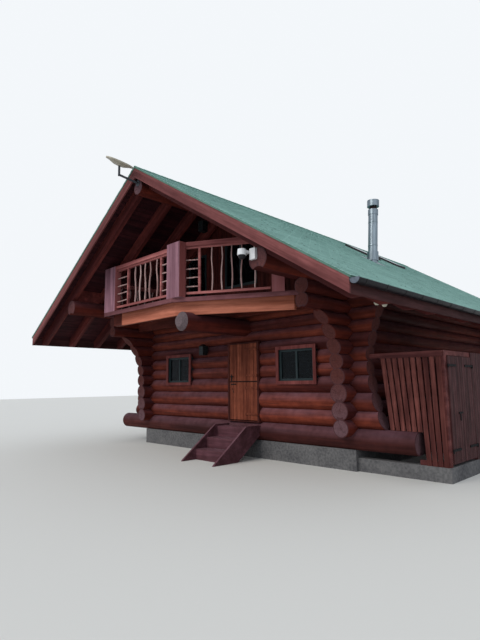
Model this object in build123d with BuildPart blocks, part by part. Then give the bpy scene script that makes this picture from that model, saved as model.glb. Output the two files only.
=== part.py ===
"""A log cabin with a balcony under its front gable, a stable door and a fenced side store.

Millimetres. X runs to the right along the front, Y into the cabin, Z up. The origin is on the
ground, in the middle of the cabin's length and under its ridge.
"""
import os
from math import atan, cos, degrees

from build123d import *

os.makedirs("parts", exist_ok=True)

# Clearances between pieces that meet
fit = 0.4
seat = 0.3
swing_gap = 8.0

# Roof form, measured on the upper surface of the covering
roof_half_width = 5560.0
eave_height = 3236.0
apex_height = 6769.0
roof_length = 13500.0
antenna_reach = 700.0
cover_thickness = 30.0
roof_board_thickness = 25.0
cover_overhang = 30.0
rafter_depth = 280.0
rafter_width = 110.0
rafter_count = 16
first_rafter_back = 350.0
barge_depth = 195.0
barge_thickness = 35.0
barge_inset = 10.0
fascia_thickness = 30.0
fascia_depth = 230.0
blocking_thickness = 60.0
ridge_log_diameter = 330.0
ridge_log_height = 6286.0
ridge_log_back_from_rake = 110.0
ridge_cap_width = 160.0
ridge_cap_thickness = 12.0
rake_tan = (apex_height - eave_height) / roof_half_width
rake_angle = atan(rake_tan)
rake_y = -(roof_length - antenna_reach) / 2
rear_rake_y = rake_y + roof_length

# Log walls, on the centre lines of the logs
side_wall_x = 3570.0
front_overhang = 3085.0
rear_overhang = 1415.0
front_wall_y = rake_y + front_overhang
back_wall_y = rear_rake_y - rear_overhang
foundation_height = 420.0
foundation_width = 300.0
sill_log_diameter = 450.0
sill_log_bed = 20.0
sill_log_end = 4990.0
course_heights = (340.0, 370.0, 350.0, 290.0, 300.0, 300.0, 270.0, 260.0, 290.0, 300.0)
door_courses = 6
first_side_bed_rise = 270.0
plate_rise = 300.0
plate_diameter = 420.0
plate_back_from_rake = 280.0
scribe_depth = 14.0
scribe_gap = 0.5

# Where the logs of the front and back walls end past the side walls: low, waist and top
end_low = 780.0
end_belly = 540.0
end_waist = 468.0
end_shoulder = 870.0
end_top = 880.0
belly_height = 1600.0
waist_height = 2300.0
shoulder_height = 3500.0
# Where the side-wall logs end in front of the front wall and behind the back wall
side_end_low = 420.0
side_end_waist = 500.0
side_end_top = 1150.0
side_waist_height = 2150.0
# Two side-wall logs near the top run forward under the balcony
beam_courses = (8, 9)
left_beam_end = 1580.0
right_beam_end = 1490.0

# The balcony's middle beam
centre_beam_x = 600.0
centre_beam_z = 3180.0
centre_beam_diameter = 440.0
centre_beam_end = 850.0
centre_beam_inside = 900.0
centre_beam_chamfer = 90.0

# Stable door of the ground floor
door_left = 100.0
door_width = 970.0
door_sill_height = 880.0
door_split_height = 1820.0
door_thickness = 45.0
door_board_width = 120.0
door_board_groove = 6.0
door_frame_width = 60.0
door_frame_depth = 400.0
door_threshold = 26.0

# Windows of the ground floor
window_width = 1050.0
window_height = 780.0
window_sill_height = 1793.0
window_centres = (-2030.0, 2285.0)
window_lining = 30.0
window_lining_depth = 410.0
window_sash = 50.0
window_sash_depth = 60.0
glass_thickness = 12.0
trim_width = 80.0
trim_thickness = 30.0

# Floors
ground_floor_height = 850.0
floor_board_thickness = 40.0
floor_joist_depth = 180.0
floor_joist_width = 80.0
floor_joist_count = 9
deck_height = 3729.0
loft_joist_depth = 200.0
loft_joist_width = 120.0
loft_joist_count = 9
floor_wall_clear = 205.0

# Gables above the log walls
gable_thickness = 120.0
balcony_door_left = -1750.0
balcony_door_right = -950.0
balcony_door_top = 5450.0
loft_window_left = -180.0
loft_window_right = 1000.0
loft_window_bottom = 4300.0
loft_window_top = 5680.0
gable_frame_width = 70.0
gable_frame_depth = 90.0
gable_frame_proud = 15.0

# Balcony outline, in distance behind the front rake
balcony_left = -2700.0
balcony_front = 820.0
balcony_corner_x = 360.0
balcony_slant = 0.56
balcony_edge_thickness = 40.0
balcony_edge_depth = 100.0
rim_setback = 150.0
rim_thickness = 60.0
rim_depth = 349.0
rim_left = -2020.0
rim_right = 2736.0
cross_timber_width = 180.0
cross_timber_depth = 304.0
front_timber_back = 1100.0
rear_timber_back = 2400.0

# Balcony railing
railing_height = 1217.0
right_rail_rise = 75.0
post_thickness = 180.0
left_post_width = 540.0
centre_post_left = 170.0
centre_post_right = 648.0
right_post_start = 2368.0
right_post_width = 280.0
top_rail_height = 95.0
top_rail_width = 140.0
second_rail_height = 50.0
bottom_rail_height = 55.0
bottom_rail_lift = 72.0
rail_width = 60.0
stick_diameter = 42.0
stick_bends = (0, 0.9, 0.5, -0.7, 0)
stick_sways = (26.0, -30.0, 22.0, -34.0, 28.0, -20.0)
rung_diameter = 30.0
rung_heights = (255.0, 465.0, 670.0, 880.0)
end_divider = 570.0
left_divider = -1627.0
middle_divider = -155.0
right_divider = 890.0
divider_width = 55.0
left_sticks = (-1297.0, -1071.0, -849.0, -634.0, -341.0)
right_sticks = (1152.0, 1360.0, 1564.0, 1765.0, 2023.0)
return_sticks = (1300.0, 1560.0, 1820.0, 2080.0, 2340.0, 2600.0)
return_rail_height = 860.0

# Handle of the upper leaf and latch of the lower one
handle_inset = 70.0
handle_rise = 95.0
handle_plate = (20.0, 85.0)
lever_length = 110.0
latch_drop = 60.0
latch_length = 160.0

# Steps up to the door
step_rise = 245.0
step_going = 345.0
step_count = 3
first_step_front = 1800.0
tread_depth = 330.0
tread_thickness = 40.0
stringer_left = 14.0
stringer_right = 1150.0
stringer_thickness = 50.0
# The stringers' side outline, from the front of the foot: distance behind the rake, and height
stringer_points = (
    (1390.0, 0.0),
    (1440.0, 45.0),
    (2424.0, 777.0),
    (2900.0, 777.0),
    (2900.0, 560.0),
    (2140.0, 0.0),
)

# Flue and roof windows on the right slope
flue_x = 2750.0
flue_back = 5750.0
flue_diameter = 250.0
flue_top = 6720.0
flue_lean = 0.038
flue_cap_diameter = 320.0
flue_cap_height = 170.0
flue_neck_diameter = 190.0
flue_neck_height = 90.0
flue_collar_height = 150.0
flue_collar_diameter = 270.0
flashing_width = 520.0
flashing_thickness = 6.0
skylight_bays = (7600.0, 9306.0)
skylight_width = 700.0
skylight_in = 980.0
skylight_out = 1820.0
skylight_curb = 50.0
skylight_rise = 60.0

# Gutter on the right eave
gutter_radius = 75.0
gutter_wall = 5.0
gutter_height = 3198.0
gutter_inset = 30.0

# Aerial, camera and lamps
dish_diameter = 620.0
dish_thickness = 26.0
dish_depth = 60.0
mast_diameter = 50.0
mast_back = -388.0
mast_top = 6720.0
arm_height = 6440.0

# Camera on the end of the right plate log
camera_x = 3350.0
camera_z = 3990.0
camera_diameter = 165.0
camera_arm = 40.0
camera_box_x0 = 3431.0
camera_box_x1 = 3561.0
camera_box_z0 = 3911.0
camera_box_z1 = 4111.0

# Lanterns, on the front wall and hung from the ridge log, and the lamp under the right eave
lantern_x = -830.0
lantern_z = 2717.0
lantern_size = (165.0, 240.0)
lantern_reach = 130.0
hanging_back = 2075.0
hanging_bottom = 5670.0
hanging_size = (170.0, 270.0)
hanging_rod = 24.0
lamp_x = 4865.0
lamp_head_radius = 55.0
lamp_heads = (-90.0, 190.0)
lamp_profile = ((0.5, 40.0), (1.0, 5.0), (0.9, -50.0), (0.5, -80.0))

# Side store
store_x = 5560.0
store_front = 3044.0
store_back = 6700.0
store_top = 2335.0
kerb_height = 264.0
kerb_width = 150.0
store_post = 90.0
board_thickness = 22.0
board_width = 100.0
board_gap = 6.0
rail_height = 90.0
rail_thickness = 45.0
slat_count = 10
slat_width = 84.0
slat_top_span = (4300.0, 5400.0)
slat_foot_span = (4510.0, 5435.0)
gate_start = 3155.0
gate_end = 4309.0
gate_clear = 10.0
gate_bottom = 310.0

# Hinges of the door leaves and gates: a pin on a bracket, and an eye on a strap
pin_radius = 7.0
pin_clearance = 0.3
eye_radius = 14.0
eye_height = 50.0
strap_thickness = 6.0
strap_height = 40.0
bracket_height = 20.0


def back(distance):
    """World Y of a distance behind the front rake of the roof."""
    return rake_y + distance


def roof_z(x, below=0.0):
    """Height of the plane that lies square below the covering by the given distance."""
    return apex_height - abs(x) * rake_tan - below / cos(rake_angle)


# The seams between the logs of the front and back walls, from the top of the sill logs up
sill_log_z = foundation_height - sill_log_bed + sill_log_diameter / 2
seams = [sill_log_z + sill_log_diameter / 2]
for height in course_heights:
    seams.append(seams[-1] + height)
# The side-wall logs lie half a course higher, between the middles of the courses
middles = [(low + high) / 2 for low, high in zip(seams, seams[1:])]
first_side_bed = foundation_height + first_side_bed_rise
side_beds = [first_side_bed] + middles
door_head = seams[door_courses]
wall_top = seams[-1]


def block(x0, x1, y0, y1, z0, z1):
    """A squared timber or slab between two corners."""
    with BuildPart(Plane(origin=((x0 + x1) / 2, (y0 + y1) / 2, z0))) as timber:
        Box(x1 - x0, y1 - y0, z1 - z0, align=(Align.CENTER, Align.CENTER, Align.MIN))
    return timber.part


def rod(start, direction, length, diameter):
    """A plain round log, pipe or pin from one end of its axis."""
    with BuildPart() as log:
        with BuildSketch(Plane(origin=start, z_dir=direction)):
            Circle(diameter / 2)
        extrude(amount=length)
    return log.part


def profile_xz(points, y0, y1):
    """A prism with an outline in the plane of the gables, from y0 back to y1."""
    with BuildPart() as prism:
        with BuildSketch(Plane.XZ.offset(-y0)):
            with BuildLine():
                Polyline(*points, close=True)
            make_face()
        extrude(amount=-(y1 - y0))
    return prism.part


def profile_yz(points, x0, x1):
    """A prism with an outline seen from the side, from x0 to x1."""
    with BuildPart() as prism:
        with BuildSketch(Plane.YZ.offset(x0)):
            with BuildLine():
                Polyline(*points, close=True)
            make_face()
        extrude(amount=x1 - x0)
    return prism.part


def profile_xy(points, z0, z1):
    """A prism with a plan outline, from z0 up to z1."""
    with BuildPart() as prism:
        with BuildSketch(Plane.XY.offset(z0)):
            with BuildLine():
                Polyline(*points, close=True)
            make_face()
        extrude(amount=z1 - z0)
    return prism.part


def slope_strip(x_in, x_out, below, thickness, y0, y1):
    """A board or sheet parallel to the roof, between two plumb cuts. The sign of x is its side."""
    points = [
        (x_in, roof_z(x_in, below)),
        (x_out, roof_z(x_out, below)),
        (x_out, roof_z(x_out, below + thickness)),
        (x_in, roof_z(x_in, below + thickness)),
    ]
    return profile_xz(points, y0, y1)


def fitted(piece, cutters, within=()):
    """A piece cut to its place against what it meets, and trimmed to outlines."""
    with BuildPart() as cut:
        add(piece)
        for outline in within:
            add(outline, mode=Mode.INTERSECT)
        if cutters:
            add(cutters, mode=Mode.SUBTRACT)
    return cut.part


def shifted(piece, x=0.0, y=0.0, z=0.0):
    """A copy of a piece at another place."""
    return piece.moved(Location((x, y, z)))


class Course:
    """One log of a wall: the height of its axis and its diameter."""

    def __init__(self, low, high, grow=scribe_depth):
        self.z = (low + high) / 2
        self.diameter = high - low + 2 * grow


front_courses = [Course(low, high) for low, high in zip(seams, seams[1:])]
side_courses = [Course(low, high) for low, high in zip(side_beds, side_beds[1:])]
plate_grow = (plate_diameter - plate_rise) / 2
plate_course = Course(middles[-1], middles[-1] + plate_rise, plate_grow)
sill_course = Course(sill_log_z, sill_log_z, sill_log_diameter / 2)

long_x = 2 * sill_log_end
long_y = back_wall_y - front_wall_y + 2 * front_overhang


def cross_cutter(course, y):
    """The space that a log of the front or back wall takes in the logs above it."""
    diameter = course.diameter + 2 * scribe_gap
    return rod((-sill_log_end, y, course.z), (1, 0, 0), long_x, diameter)


def side_cutter(course, x):
    """The space that a side-wall log takes in what meets it."""
    diameter = course.diameter + 2 * scribe_gap
    return rod((x, front_wall_y - front_overhang, course.z), (0, 1, 0), long_y, diameter)


def both_sides(course):
    """The spaces of the two side-wall logs of one course."""
    return [side_cutter(course, x) for x in (-side_wall_x, side_wall_x)]


deep = 400.0


def wall_end_profile(y):
    """The space inside the flared line of log ends of a front or back wall."""
    low, top = seams[0], wall_top + scribe_depth
    with BuildPart() as inside:
        with BuildSketch(Plane.XZ.offset(-(y - deep))):
            with BuildLine() as right:
                foot = (side_wall_x + end_low, low - scribe_depth)
                waist = (side_wall_x + end_waist, waist_height)
                shoulder = (side_wall_x + end_shoulder, shoulder_height)
                ThreePointArc(foot, (side_wall_x + end_belly, belly_height), waist)
                flare = ((3 * waist[0] + 2 * shoulder[0]) / 5, (waist_height + shoulder_height) / 2)
                ThreePointArc(waist, flare, shoulder)
                Line(shoulder, (side_wall_x + end_top, top))
                Line((side_wall_x + end_top, top), (0, top))
                Line((0, low - scribe_depth), foot)
                mirror(about=Plane.YZ)
            make_face()
        extrude(amount=-2 * deep)
    return inside.part


def side_end_profile(x):
    """The space inside the corbelled line of log ends of a side wall."""
    low, top = foundation_height, middles[7]
    front = [front_wall_y - reach for reach in (side_end_low, side_end_waist, side_end_top)]
    rear = [back_wall_y + reach for reach in (side_end_low, side_end_waist, side_end_top)]
    belly = (side_waist_height + top) / 2
    with BuildPart() as inside:
        with BuildSketch(Plane.YZ.offset(x - deep)):
            with BuildLine():
                Line((front[0], low), (front[1], side_waist_height))
                ThreePointArc(
                    (front[1], side_waist_height), ((front[1] * 3 + front[2]) / 4, belly), (front[2], top)
                )
                Line((front[2], top), (rear[2], top))
                ThreePointArc(
                    (rear[2], top), ((rear[1] * 3 + rear[2]) / 4, belly), (rear[1], side_waist_height)
                )
                Line((rear[1], side_waist_height), (rear[0], low))
                Line((rear[0], low), (front[0], low))
            make_face()
        extrude(amount=2 * deep)
    return inside.part


# The layers of the roof, in distance square below the upper surface of the covering
boards_below = cover_thickness + seat
rafters_below = boards_below + roof_board_thickness + seat
underside_below = rafters_below + rafter_depth


def under_rafters(y0, y1):
    """The space under the plane of the rafters' lower edges."""
    eave_z = roof_z(roof_half_width, underside_below + fit)
    outline = [
        (-roof_half_width, eave_z),
        (0, roof_z(0, underside_below + fit)),
        (roof_half_width, eave_z),
        (roof_half_width, 0),
        (-roof_half_width, 0),
    ]
    return profile_xz(outline, y0, y1)


# Foundation: a low concrete wall under the logs, higher under the side walls
foundation_side_top = first_side_bed - scribe_depth
half_foundation = foundation_width / 2
outer_x = side_wall_x + half_foundation
inner_x = side_wall_x - half_foundation
foundation_front = front_wall_y - half_foundation
foundation_back = back_wall_y + half_foundation
strips = [
    block(-outer_x, outer_x, foundation_front, front_wall_y + half_foundation, 0, foundation_height),
    block(-outer_x, outer_x, back_wall_y - half_foundation, foundation_back, 0, foundation_height),
]
sill_clear = sill_log_diameter / 2 + fit
for x0, x1 in ((-outer_x, -inner_x), (inner_x, outer_x)):
    strips.append(block(x0, x1, foundation_front, foundation_back, 0, foundation_height))
    raised = (front_wall_y + sill_clear, back_wall_y - sill_clear)
    strips.append(block(x0, x1, *raised, foundation_height, foundation_side_top))
with BuildPart() as foundation:
    add(strips)
foundation.part.label = "foundation"
export_step(foundation.part, "parts/foundation.step")

# The two big sill logs, bedded flat on the foundation, with a flat for the threshold
door_right = door_left + door_width
frame_left = door_left - door_frame_width
frame_right = door_right + door_frame_width
frame_bottom = seams[0] - scribe_depth
bedded_logs = []
for y in (front_wall_y, back_wall_y):
    log = rod((-sill_log_end, y, sill_log_z), (1, 0, 0), long_x, sill_log_diameter)
    bed = block(-sill_log_end, sill_log_end, y - deep, y + deep, 0, foundation_height)
    cutters = [bed]
    if y == front_wall_y:
        flat = (frame_bottom, frame_bottom + deep)
        cutters.append(block(frame_left - fit, frame_right + fit, y - deep, y + deep, *flat))
    bedded_logs.append(fitted(log, cutters))
with BuildPart() as sill_logs:
    add(bedded_logs)
sill_logs.part.label = "sill_logs"
export_step(sill_logs.part, "parts/sill_logs.step")

# Front wall: logs with their grooves, notches and flared ends, then the openings
plain_logs = []
front_inside = wall_end_profile(front_wall_y)
for number, course in enumerate(front_courses):
    log = rod((-sill_log_end, front_wall_y, course.z), (1, 0, 0), long_x, course.diameter)
    below = front_courses[number - 1] if number else sill_course
    under = [cross_cutter(below, front_wall_y)] + both_sides(side_courses[number])
    within = [front_inside]
    if course in front_courses[-2:]:
        within.append(under_rafters(front_wall_y - deep, front_wall_y + deep))
    if course is front_courses[-1]:
        flat = (wall_top, wall_top + deep)
        under.append(block(-long_x, long_x, front_wall_y - deep, front_wall_y + deep, *flat))
    plain_logs.append(fitted(log, under, within))

doorway = block(
    frame_left - fit, frame_right + fit, front_wall_y - deep, front_wall_y + deep, frame_bottom, door_head
)
low_doorway = shifted(doorway, z=2 * scribe_depth)


def window_hole(centre_x, y):
    """The hole in a wall for one window frame."""
    half = window_width / 2 + fit
    low = window_sill_height - fit
    high = window_sill_height + window_height + fit
    return block(centre_x - half, centre_x + half, y - deep, y + deep, low, high)


window_xs = window_centres
front_window_holes = [window_hole(x, front_wall_y) for x in window_xs]
window_logs = [
    number
    for number, course in enumerate(front_courses)
    if course.z + course.diameter / 2 > window_sill_height - fit
    and course.z - course.diameter / 2 < window_sill_height + window_height + fit
]
left_pieces = []
right_pieces = []
for number, log in enumerate(plain_logs[:door_courses]):
    cutters = [doorway, low_doorway]
    if number in window_logs:
        cutters += front_window_holes
    for piece in fitted(log, cutters).solids():
        side = left_pieces if piece.center().X < door_left else right_pieces
        side.append(piece)
with BuildPart() as front_wall_left:
    add(left_pieces)
front_wall_left.part.label = "front_wall_left"
export_step(front_wall_left.part, "parts/front_wall_left.step")
with BuildPart() as front_wall_right:
    add(right_pieces)
front_wall_right.part.label = "front_wall_right"
export_step(front_wall_right.part, "parts/front_wall_right.step")

centre_beam_hole = rod(
    (centre_beam_x, back(centre_beam_end), centre_beam_z),
    (0, 1, 0),
    front_overhang + centre_beam_inside - centre_beam_end,
    centre_beam_diameter + 2 * scribe_gap,
)
gable_y0 = front_wall_y - gable_thickness / 2
gable_y1 = front_wall_y + gable_thickness / 2
balcony_doorway = block(
    balcony_door_left, balcony_door_right, gable_y0 - deep, gable_y1 + deep, deck_height, balcony_door_top
)
high_logs = []
for number, log in enumerate(plain_logs[door_courses:], start=door_courses):
    course = front_courses[number]
    cutters = []
    if number == door_courses:
        cutters.append(doorway)
    if number in window_logs:
        cutters += front_window_holes
    if abs(course.z - centre_beam_z) < (course.diameter + centre_beam_diameter) / 2:
        cutters.append(centre_beam_hole)
    if course is front_courses[-1]:
        cutters.append(balcony_doorway)
    high_logs.append(fitted(log, cutters) if cutters else log)
with BuildPart() as front_wall_over_door:
    add(high_logs)
front_wall_over_door.part.label = "front_wall_over_door"
export_step(front_wall_over_door.part, "parts/front_wall_over_door.step")

wall_spacing = back_wall_y - front_wall_y
back_logs = []
for number, log in enumerate(plain_logs):
    rear_log = shifted(log, y=wall_spacing)
    if number in window_logs:
        rear_log = fitted(rear_log, [window_hole(x, back_wall_y) for x in window_xs])
    back_logs += rear_log.solids()
with BuildPart() as back_wall:
    add(back_logs)
back_wall.part.label = "back_wall"
export_step(back_wall.part, "parts/back_wall.step")


# Side walls. Two logs near the top run forward as the balcony's side beams, and the plate on
# top runs on to the rakes of the roof.
def side_log(number, x, y0, y1, within=()):
    """One log of a side wall, notched over the log and the cross logs under it."""
    course = plate_course if number == len(side_courses) else side_courses[number]
    log = rod((x, y0, course.z), (0, 1, 0), y1 - y0, course.diameter)
    if number:
        below = side_cutter(side_courses[number - 1], x)
        cross = front_courses[number - 1]
    else:
        below = block(x - deep, x + deep, y0, y1, 0, foundation_side_top)
        cross = sill_course
    under = [below] + [cross_cutter(cross, y) for y in (front_wall_y, back_wall_y)]
    return fitted(log, under, within)


left_inside = side_end_profile(-side_wall_x)
plain_y0, plain_y1 = front_wall_y - side_end_top, back_wall_y + side_end_top
left_logs = []
right_logs = []
for number in range(len(side_courses) + 1):
    if number == len(side_courses):
        y0, y1 = rake_y + plate_back_from_rake, rear_rake_y - plate_back_from_rake
        left_log = side_log(number, -side_wall_x, y0, y1)
    elif number in beam_courses:
        left_log = side_log(number, -side_wall_x, back(left_beam_end), plain_y1)
    else:
        left_log = side_log(number, -side_wall_x, plain_y0, plain_y1, [left_inside])
    left_logs.append(left_log)
    if number in beam_courses:
        right_logs.append(side_log(number, side_wall_x, back(right_beam_end), plain_y1))
    else:
        right_logs.append(mirror(left_log, about=Plane.YZ))
with BuildPart() as left_side_wall:
    add(left_logs)
left_side_wall.part.label = "left_side_wall"
export_step(left_side_wall.part, "parts/left_side_wall.step")
with BuildPart() as right_side_wall:
    add(right_logs)
right_side_wall.part.label = "right_side_wall"
export_step(right_side_wall.part, "parts/right_side_wall.step")

beam_length = front_overhang + centre_beam_inside - centre_beam_end
with BuildPart() as centre_beam:
    add(
        rod(
            (centre_beam_x, back(centre_beam_end), centre_beam_z),
            (0, 1, 0),
            beam_length,
            centre_beam_diameter,
        )
    )
    chamfer(centre_beam.faces().sort_by(Axis.Y)[0].edges(), centre_beam_chamfer)
centre_beam.part.label = "centre_beam"
export_step(centre_beam.part, "parts/centre_beam.step")

# Ground floor: joists let in between the sill logs, with boards on top
floor_x = side_wall_x - floor_wall_clear
floor_y0 = front_wall_y + floor_wall_clear
floor_y1 = back_wall_y - floor_wall_clear
sill_spaces = [cross_cutter(sill_course, y) for y in (front_wall_y, back_wall_y)]
low_spaces = sill_spaces + both_sides(side_courses[0])
boards_bottom = ground_floor_height - floor_board_thickness
floor_boards = block(-floor_x, floor_x, floor_y0, floor_y1, boards_bottom, ground_floor_height)
joist_pitch = 2 * (floor_x - floor_joist_width) / (floor_joist_count - 1)
joist = block(
    -floor_joist_width / 2,
    floor_joist_width / 2,
    floor_y0 - scribe_depth,
    floor_y1 + scribe_depth,
    boards_bottom - floor_joist_depth,
    boards_bottom,
)
joist = fitted(joist, sill_spaces)
floor_joists = [
    shifted(joist, x=(index - (floor_joist_count - 1) / 2) * joist_pitch)
    for index in range(floor_joist_count)
]
solids = [fitted(floor_boards, low_spaces)] + floor_joists
with BuildPart() as ground_floor:
    add(solids)
ground_floor.part.label = "ground_floor"
export_step(ground_floor.part, "parts/ground_floor.step")

# Loft floor, level with the balcony deck, on joists let into the side walls
deck_bottom = deck_height - floor_board_thickness
beam_spaces = both_sides(side_courses[beam_courses[0]]) + both_sides(side_courses[beam_courses[1]])
beam_spaces += both_sides(plate_course)
top_log_spaces = [cross_cutter(front_courses[-1], y) for y in (front_wall_y, back_wall_y)]
loft_half = side_wall_x - side_courses[beam_courses[1]].diameter / 2 + 2 * scribe_depth
loft_boards = block(
    -loft_half,
    loft_half,
    front_wall_y + floor_wall_clear - 3 * scribe_depth,
    back_wall_y - floor_wall_clear + 3 * scribe_depth,
    deck_bottom,
    deck_height,
)
loft_joist = block(
    -loft_half,
    loft_half,
    -loft_joist_width / 2,
    loft_joist_width / 2,
    deck_bottom - loft_joist_depth,
    deck_bottom,
)
loft_joist = fitted(loft_joist, beam_spaces)
loft_joist_y0 = front_wall_y + centre_beam_inside + loft_joist_width
loft_joist_y1 = back_wall_y - 2 * floor_wall_clear
loft_joist_pitch = (loft_joist_y1 - loft_joist_y0) / (loft_joist_count - 1)
loft_joists = [
    shifted(loft_joist, y=loft_joist_y0 + index * loft_joist_pitch) for index in range(loft_joist_count)
]
solids = [fitted(loft_boards, beam_spaces + top_log_spaces)] + loft_joists
with BuildPart() as loft_floor:
    add(solids)
loft_floor.part.label = "loft_floor"
export_step(loft_floor.part, "parts/loft_floor.step")

# Ridge log and rafters
ridge_piece = rod(
    (0, rake_y + ridge_log_back_from_rake, ridge_log_height),
    (0, 1, 0),
    roof_length - 2 * ridge_log_back_from_rake,
    ridge_log_diameter,
)
with BuildPart() as ridge_log:
    add(ridge_piece)
ridge_log.part.label = "ridge_log"
export_step(ridge_log.part, "parts/ridge_log.step")
ridge_space = rod((0, rake_y, ridge_log_height), (0, 1, 0), roof_length, ridge_log_diameter + 2 * scribe_gap)
fascia_outer = roof_half_width - cover_overhang
fascia_inner = fascia_outer - fascia_thickness
fascia_top = roof_z(fascia_outer, boards_below)
fascia_bottom = fascia_top - fascia_depth
tail_x = (roof_z(0, underside_below) - fascia_bottom) / rake_tan
rafter_spaces = [ridge_space, side_cutter(plate_course, -side_wall_x)]
rafter_outline = [
    (-seat / 2, roof_z(0, rafters_below)),
    (-fascia_inner, roof_z(fascia_inner, rafters_below)),
    (-fascia_inner, fascia_bottom),
    (-tail_x, fascia_bottom),
    (-seat / 2, roof_z(0, underside_below)),
]
rafter_half = rafter_width / 2
left_rafter = fitted(profile_xz(rafter_outline, -rafter_half, rafter_half), rafter_spaces)
right_rafter = mirror(left_rafter, about=Plane.YZ)
rafter_pitch = (roof_length - 2 * first_rafter_back) / (rafter_count - 1)
rafter_ys = [back(first_rafter_back + index * rafter_pitch) for index in range(rafter_count)]
solids = [shifted(left_rafter, y=y) for y in rafter_ys]
with BuildPart() as rafters_left:
    add(solids)
rafters_left.part.label = "rafters_left"
export_step(rafters_left.part, "parts/rafters_left.step")
solids = [shifted(right_rafter, y=y) for y in rafter_ys]
with BuildPart() as rafters_right:
    add(solids)
rafters_right.part.label = "rafters_right"
export_step(rafters_right.part, "parts/rafters_right.step")

# Blocking between the rafters on top of the plates, and two against the outer faces
block_x0 = side_wall_x - blocking_thickness / 2
block_x1 = side_wall_x + blocking_thickness / 2
block_top0 = roof_z(block_x0, rafters_below)
block_top1 = roof_z(block_x1, rafters_below)
block_outline = [
    (block_x0, plate_course.z),
    (block_x1, plate_course.z),
    (block_x1, block_top1),
    (block_x0, block_top0),
]
bay = (rafter_half, rafter_pitch - rafter_half)
right_block = fitted(profile_xz(block_outline, *bay), [side_cutter(plate_course, side_wall_x)])
left_block = mirror(right_block, about=Plane.YZ)
blocks = [shifted(piece, y=y) for y in rafter_ys[:-1] for piece in (left_block, right_block)]
with BuildPart() as eave_blocking:
    add(blocks)
eave_blocking.part.label = "eave_blocking"
export_step(eave_blocking.part, "parts/eave_blocking.step")

# Roof boards and covering, with openings on the right slope
barge_front = rake_y + barge_inset
barge_back = rear_rake_y - barge_inset
boards_y0 = barge_front + barge_thickness
boards_y1 = barge_back - barge_thickness
flue_y = back(flue_back)


def flue_point(z):
    """A point on the flue's slightly leaning axis."""
    rise = z - roof_z(flue_x)
    return (flue_x + flue_lean * rise, flue_y + flue_lean * rise, z)


def flue_rod(z0, z1, diameter):
    """A length of round pipe on the flue's axis."""
    axis = Vector(*flue_point(z1)) - Vector(*flue_point(z0))
    return rod(flue_point(z0), axis, axis.length, diameter)


flue_hole = flue_rod(roof_z(flue_x) - deep, roof_z(flue_x) + deep, flue_diameter + 2 * seat)
skylight_holes = [
    block(
        skylight_in,
        skylight_out,
        back(centre) - skylight_width / 2,
        back(centre) + skylight_width / 2,
        eave_height,
        apex_height,
    )
    for centre in skylight_bays
]
board_strip = (fascia_inner, boards_below, roof_board_thickness, boards_y0, boards_y1)
cover_strip = (roof_half_width, 0, cover_thickness, rake_y, rear_rake_y)
solids = slope_strip(-seat / 2, -board_strip[0], *board_strip[1:])
with BuildPart() as roof_boards_left:
    add(solids)
roof_boards_left.part.label = "roof_boards_left"
export_step(roof_boards_left.part, "parts/roof_boards_left.step")
solids = fitted(slope_strip(seat / 2, *board_strip), skylight_holes + [flue_hole])
with BuildPart() as roof_boards_right:
    add(solids)
roof_boards_right.part.label = "roof_boards_right"
export_step(roof_boards_right.part, "parts/roof_boards_right.step")
solids = slope_strip(-seat / 2, -cover_strip[0], *cover_strip[1:])
with BuildPart() as roof_cover_left:
    add(solids)
roof_cover_left.part.label = "roof_cover_left"
export_step(roof_cover_left.part, "parts/roof_cover_left.step")
solids = fitted(slope_strip(seat / 2, *cover_strip), skylight_holes + [flue_hole])
with BuildPart() as roof_cover_right:
    add(solids)
roof_cover_right.part.label = "roof_cover_right"
export_step(roof_cover_right.part, "parts/roof_cover_right.step")

cap_bottom = -seat
cap_top = -seat - ridge_cap_thickness
cap_outline = [
    (-ridge_cap_width, roof_z(ridge_cap_width, cap_top)),
    (0, roof_z(0, cap_top)),
    (ridge_cap_width, roof_z(ridge_cap_width, cap_top)),
    (ridge_cap_width, roof_z(ridge_cap_width, cap_bottom)),
    (0, roof_z(0, cap_bottom)),
    (-ridge_cap_width, roof_z(ridge_cap_width, cap_bottom)),
]
solids = profile_xz(cap_outline, rake_y, rear_rake_y)
with BuildPart() as ridge_cap:
    add(solids)
ridge_cap.part.label = "ridge_cap"
export_step(ridge_cap.part, "parts/ridge_cap.step")

# Barge boards on the rakes and fascias along the eaves
front_barge = slope_strip(-seat / 2, -fascia_outer, boards_below, barge_depth, barge_front, boards_y0)
solids = [front_barge, mirror(front_barge, about=Plane.YZ)]
with BuildPart() as barge_boards_front:
    add(solids)
barge_boards_front.part.label = "barge_boards_front"
export_step(barge_boards_front.part, "parts/barge_boards_front.step")
back_barge = slope_strip(-seat / 2, -fascia_outer, boards_below, barge_depth, boards_y1, barge_back)
solids = [back_barge, mirror(back_barge, about=Plane.YZ)]
with BuildPart() as barge_boards_back:
    add(solids)
barge_boards_back.part.label = "barge_boards_back"
export_step(barge_boards_back.part, "parts/barge_boards_back.step")
fascia = block(fascia_inner, fascia_outer, boards_y0, boards_y1, fascia_bottom, fascia_top)
solids = [fascia, mirror(fascia, about=Plane.YZ)]
with BuildPart() as eave_fascias:
    add(solids)
eave_fascias.part.label = "eave_fascias"
export_step(eave_fascias.part, "parts/eave_fascias.step")

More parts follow.
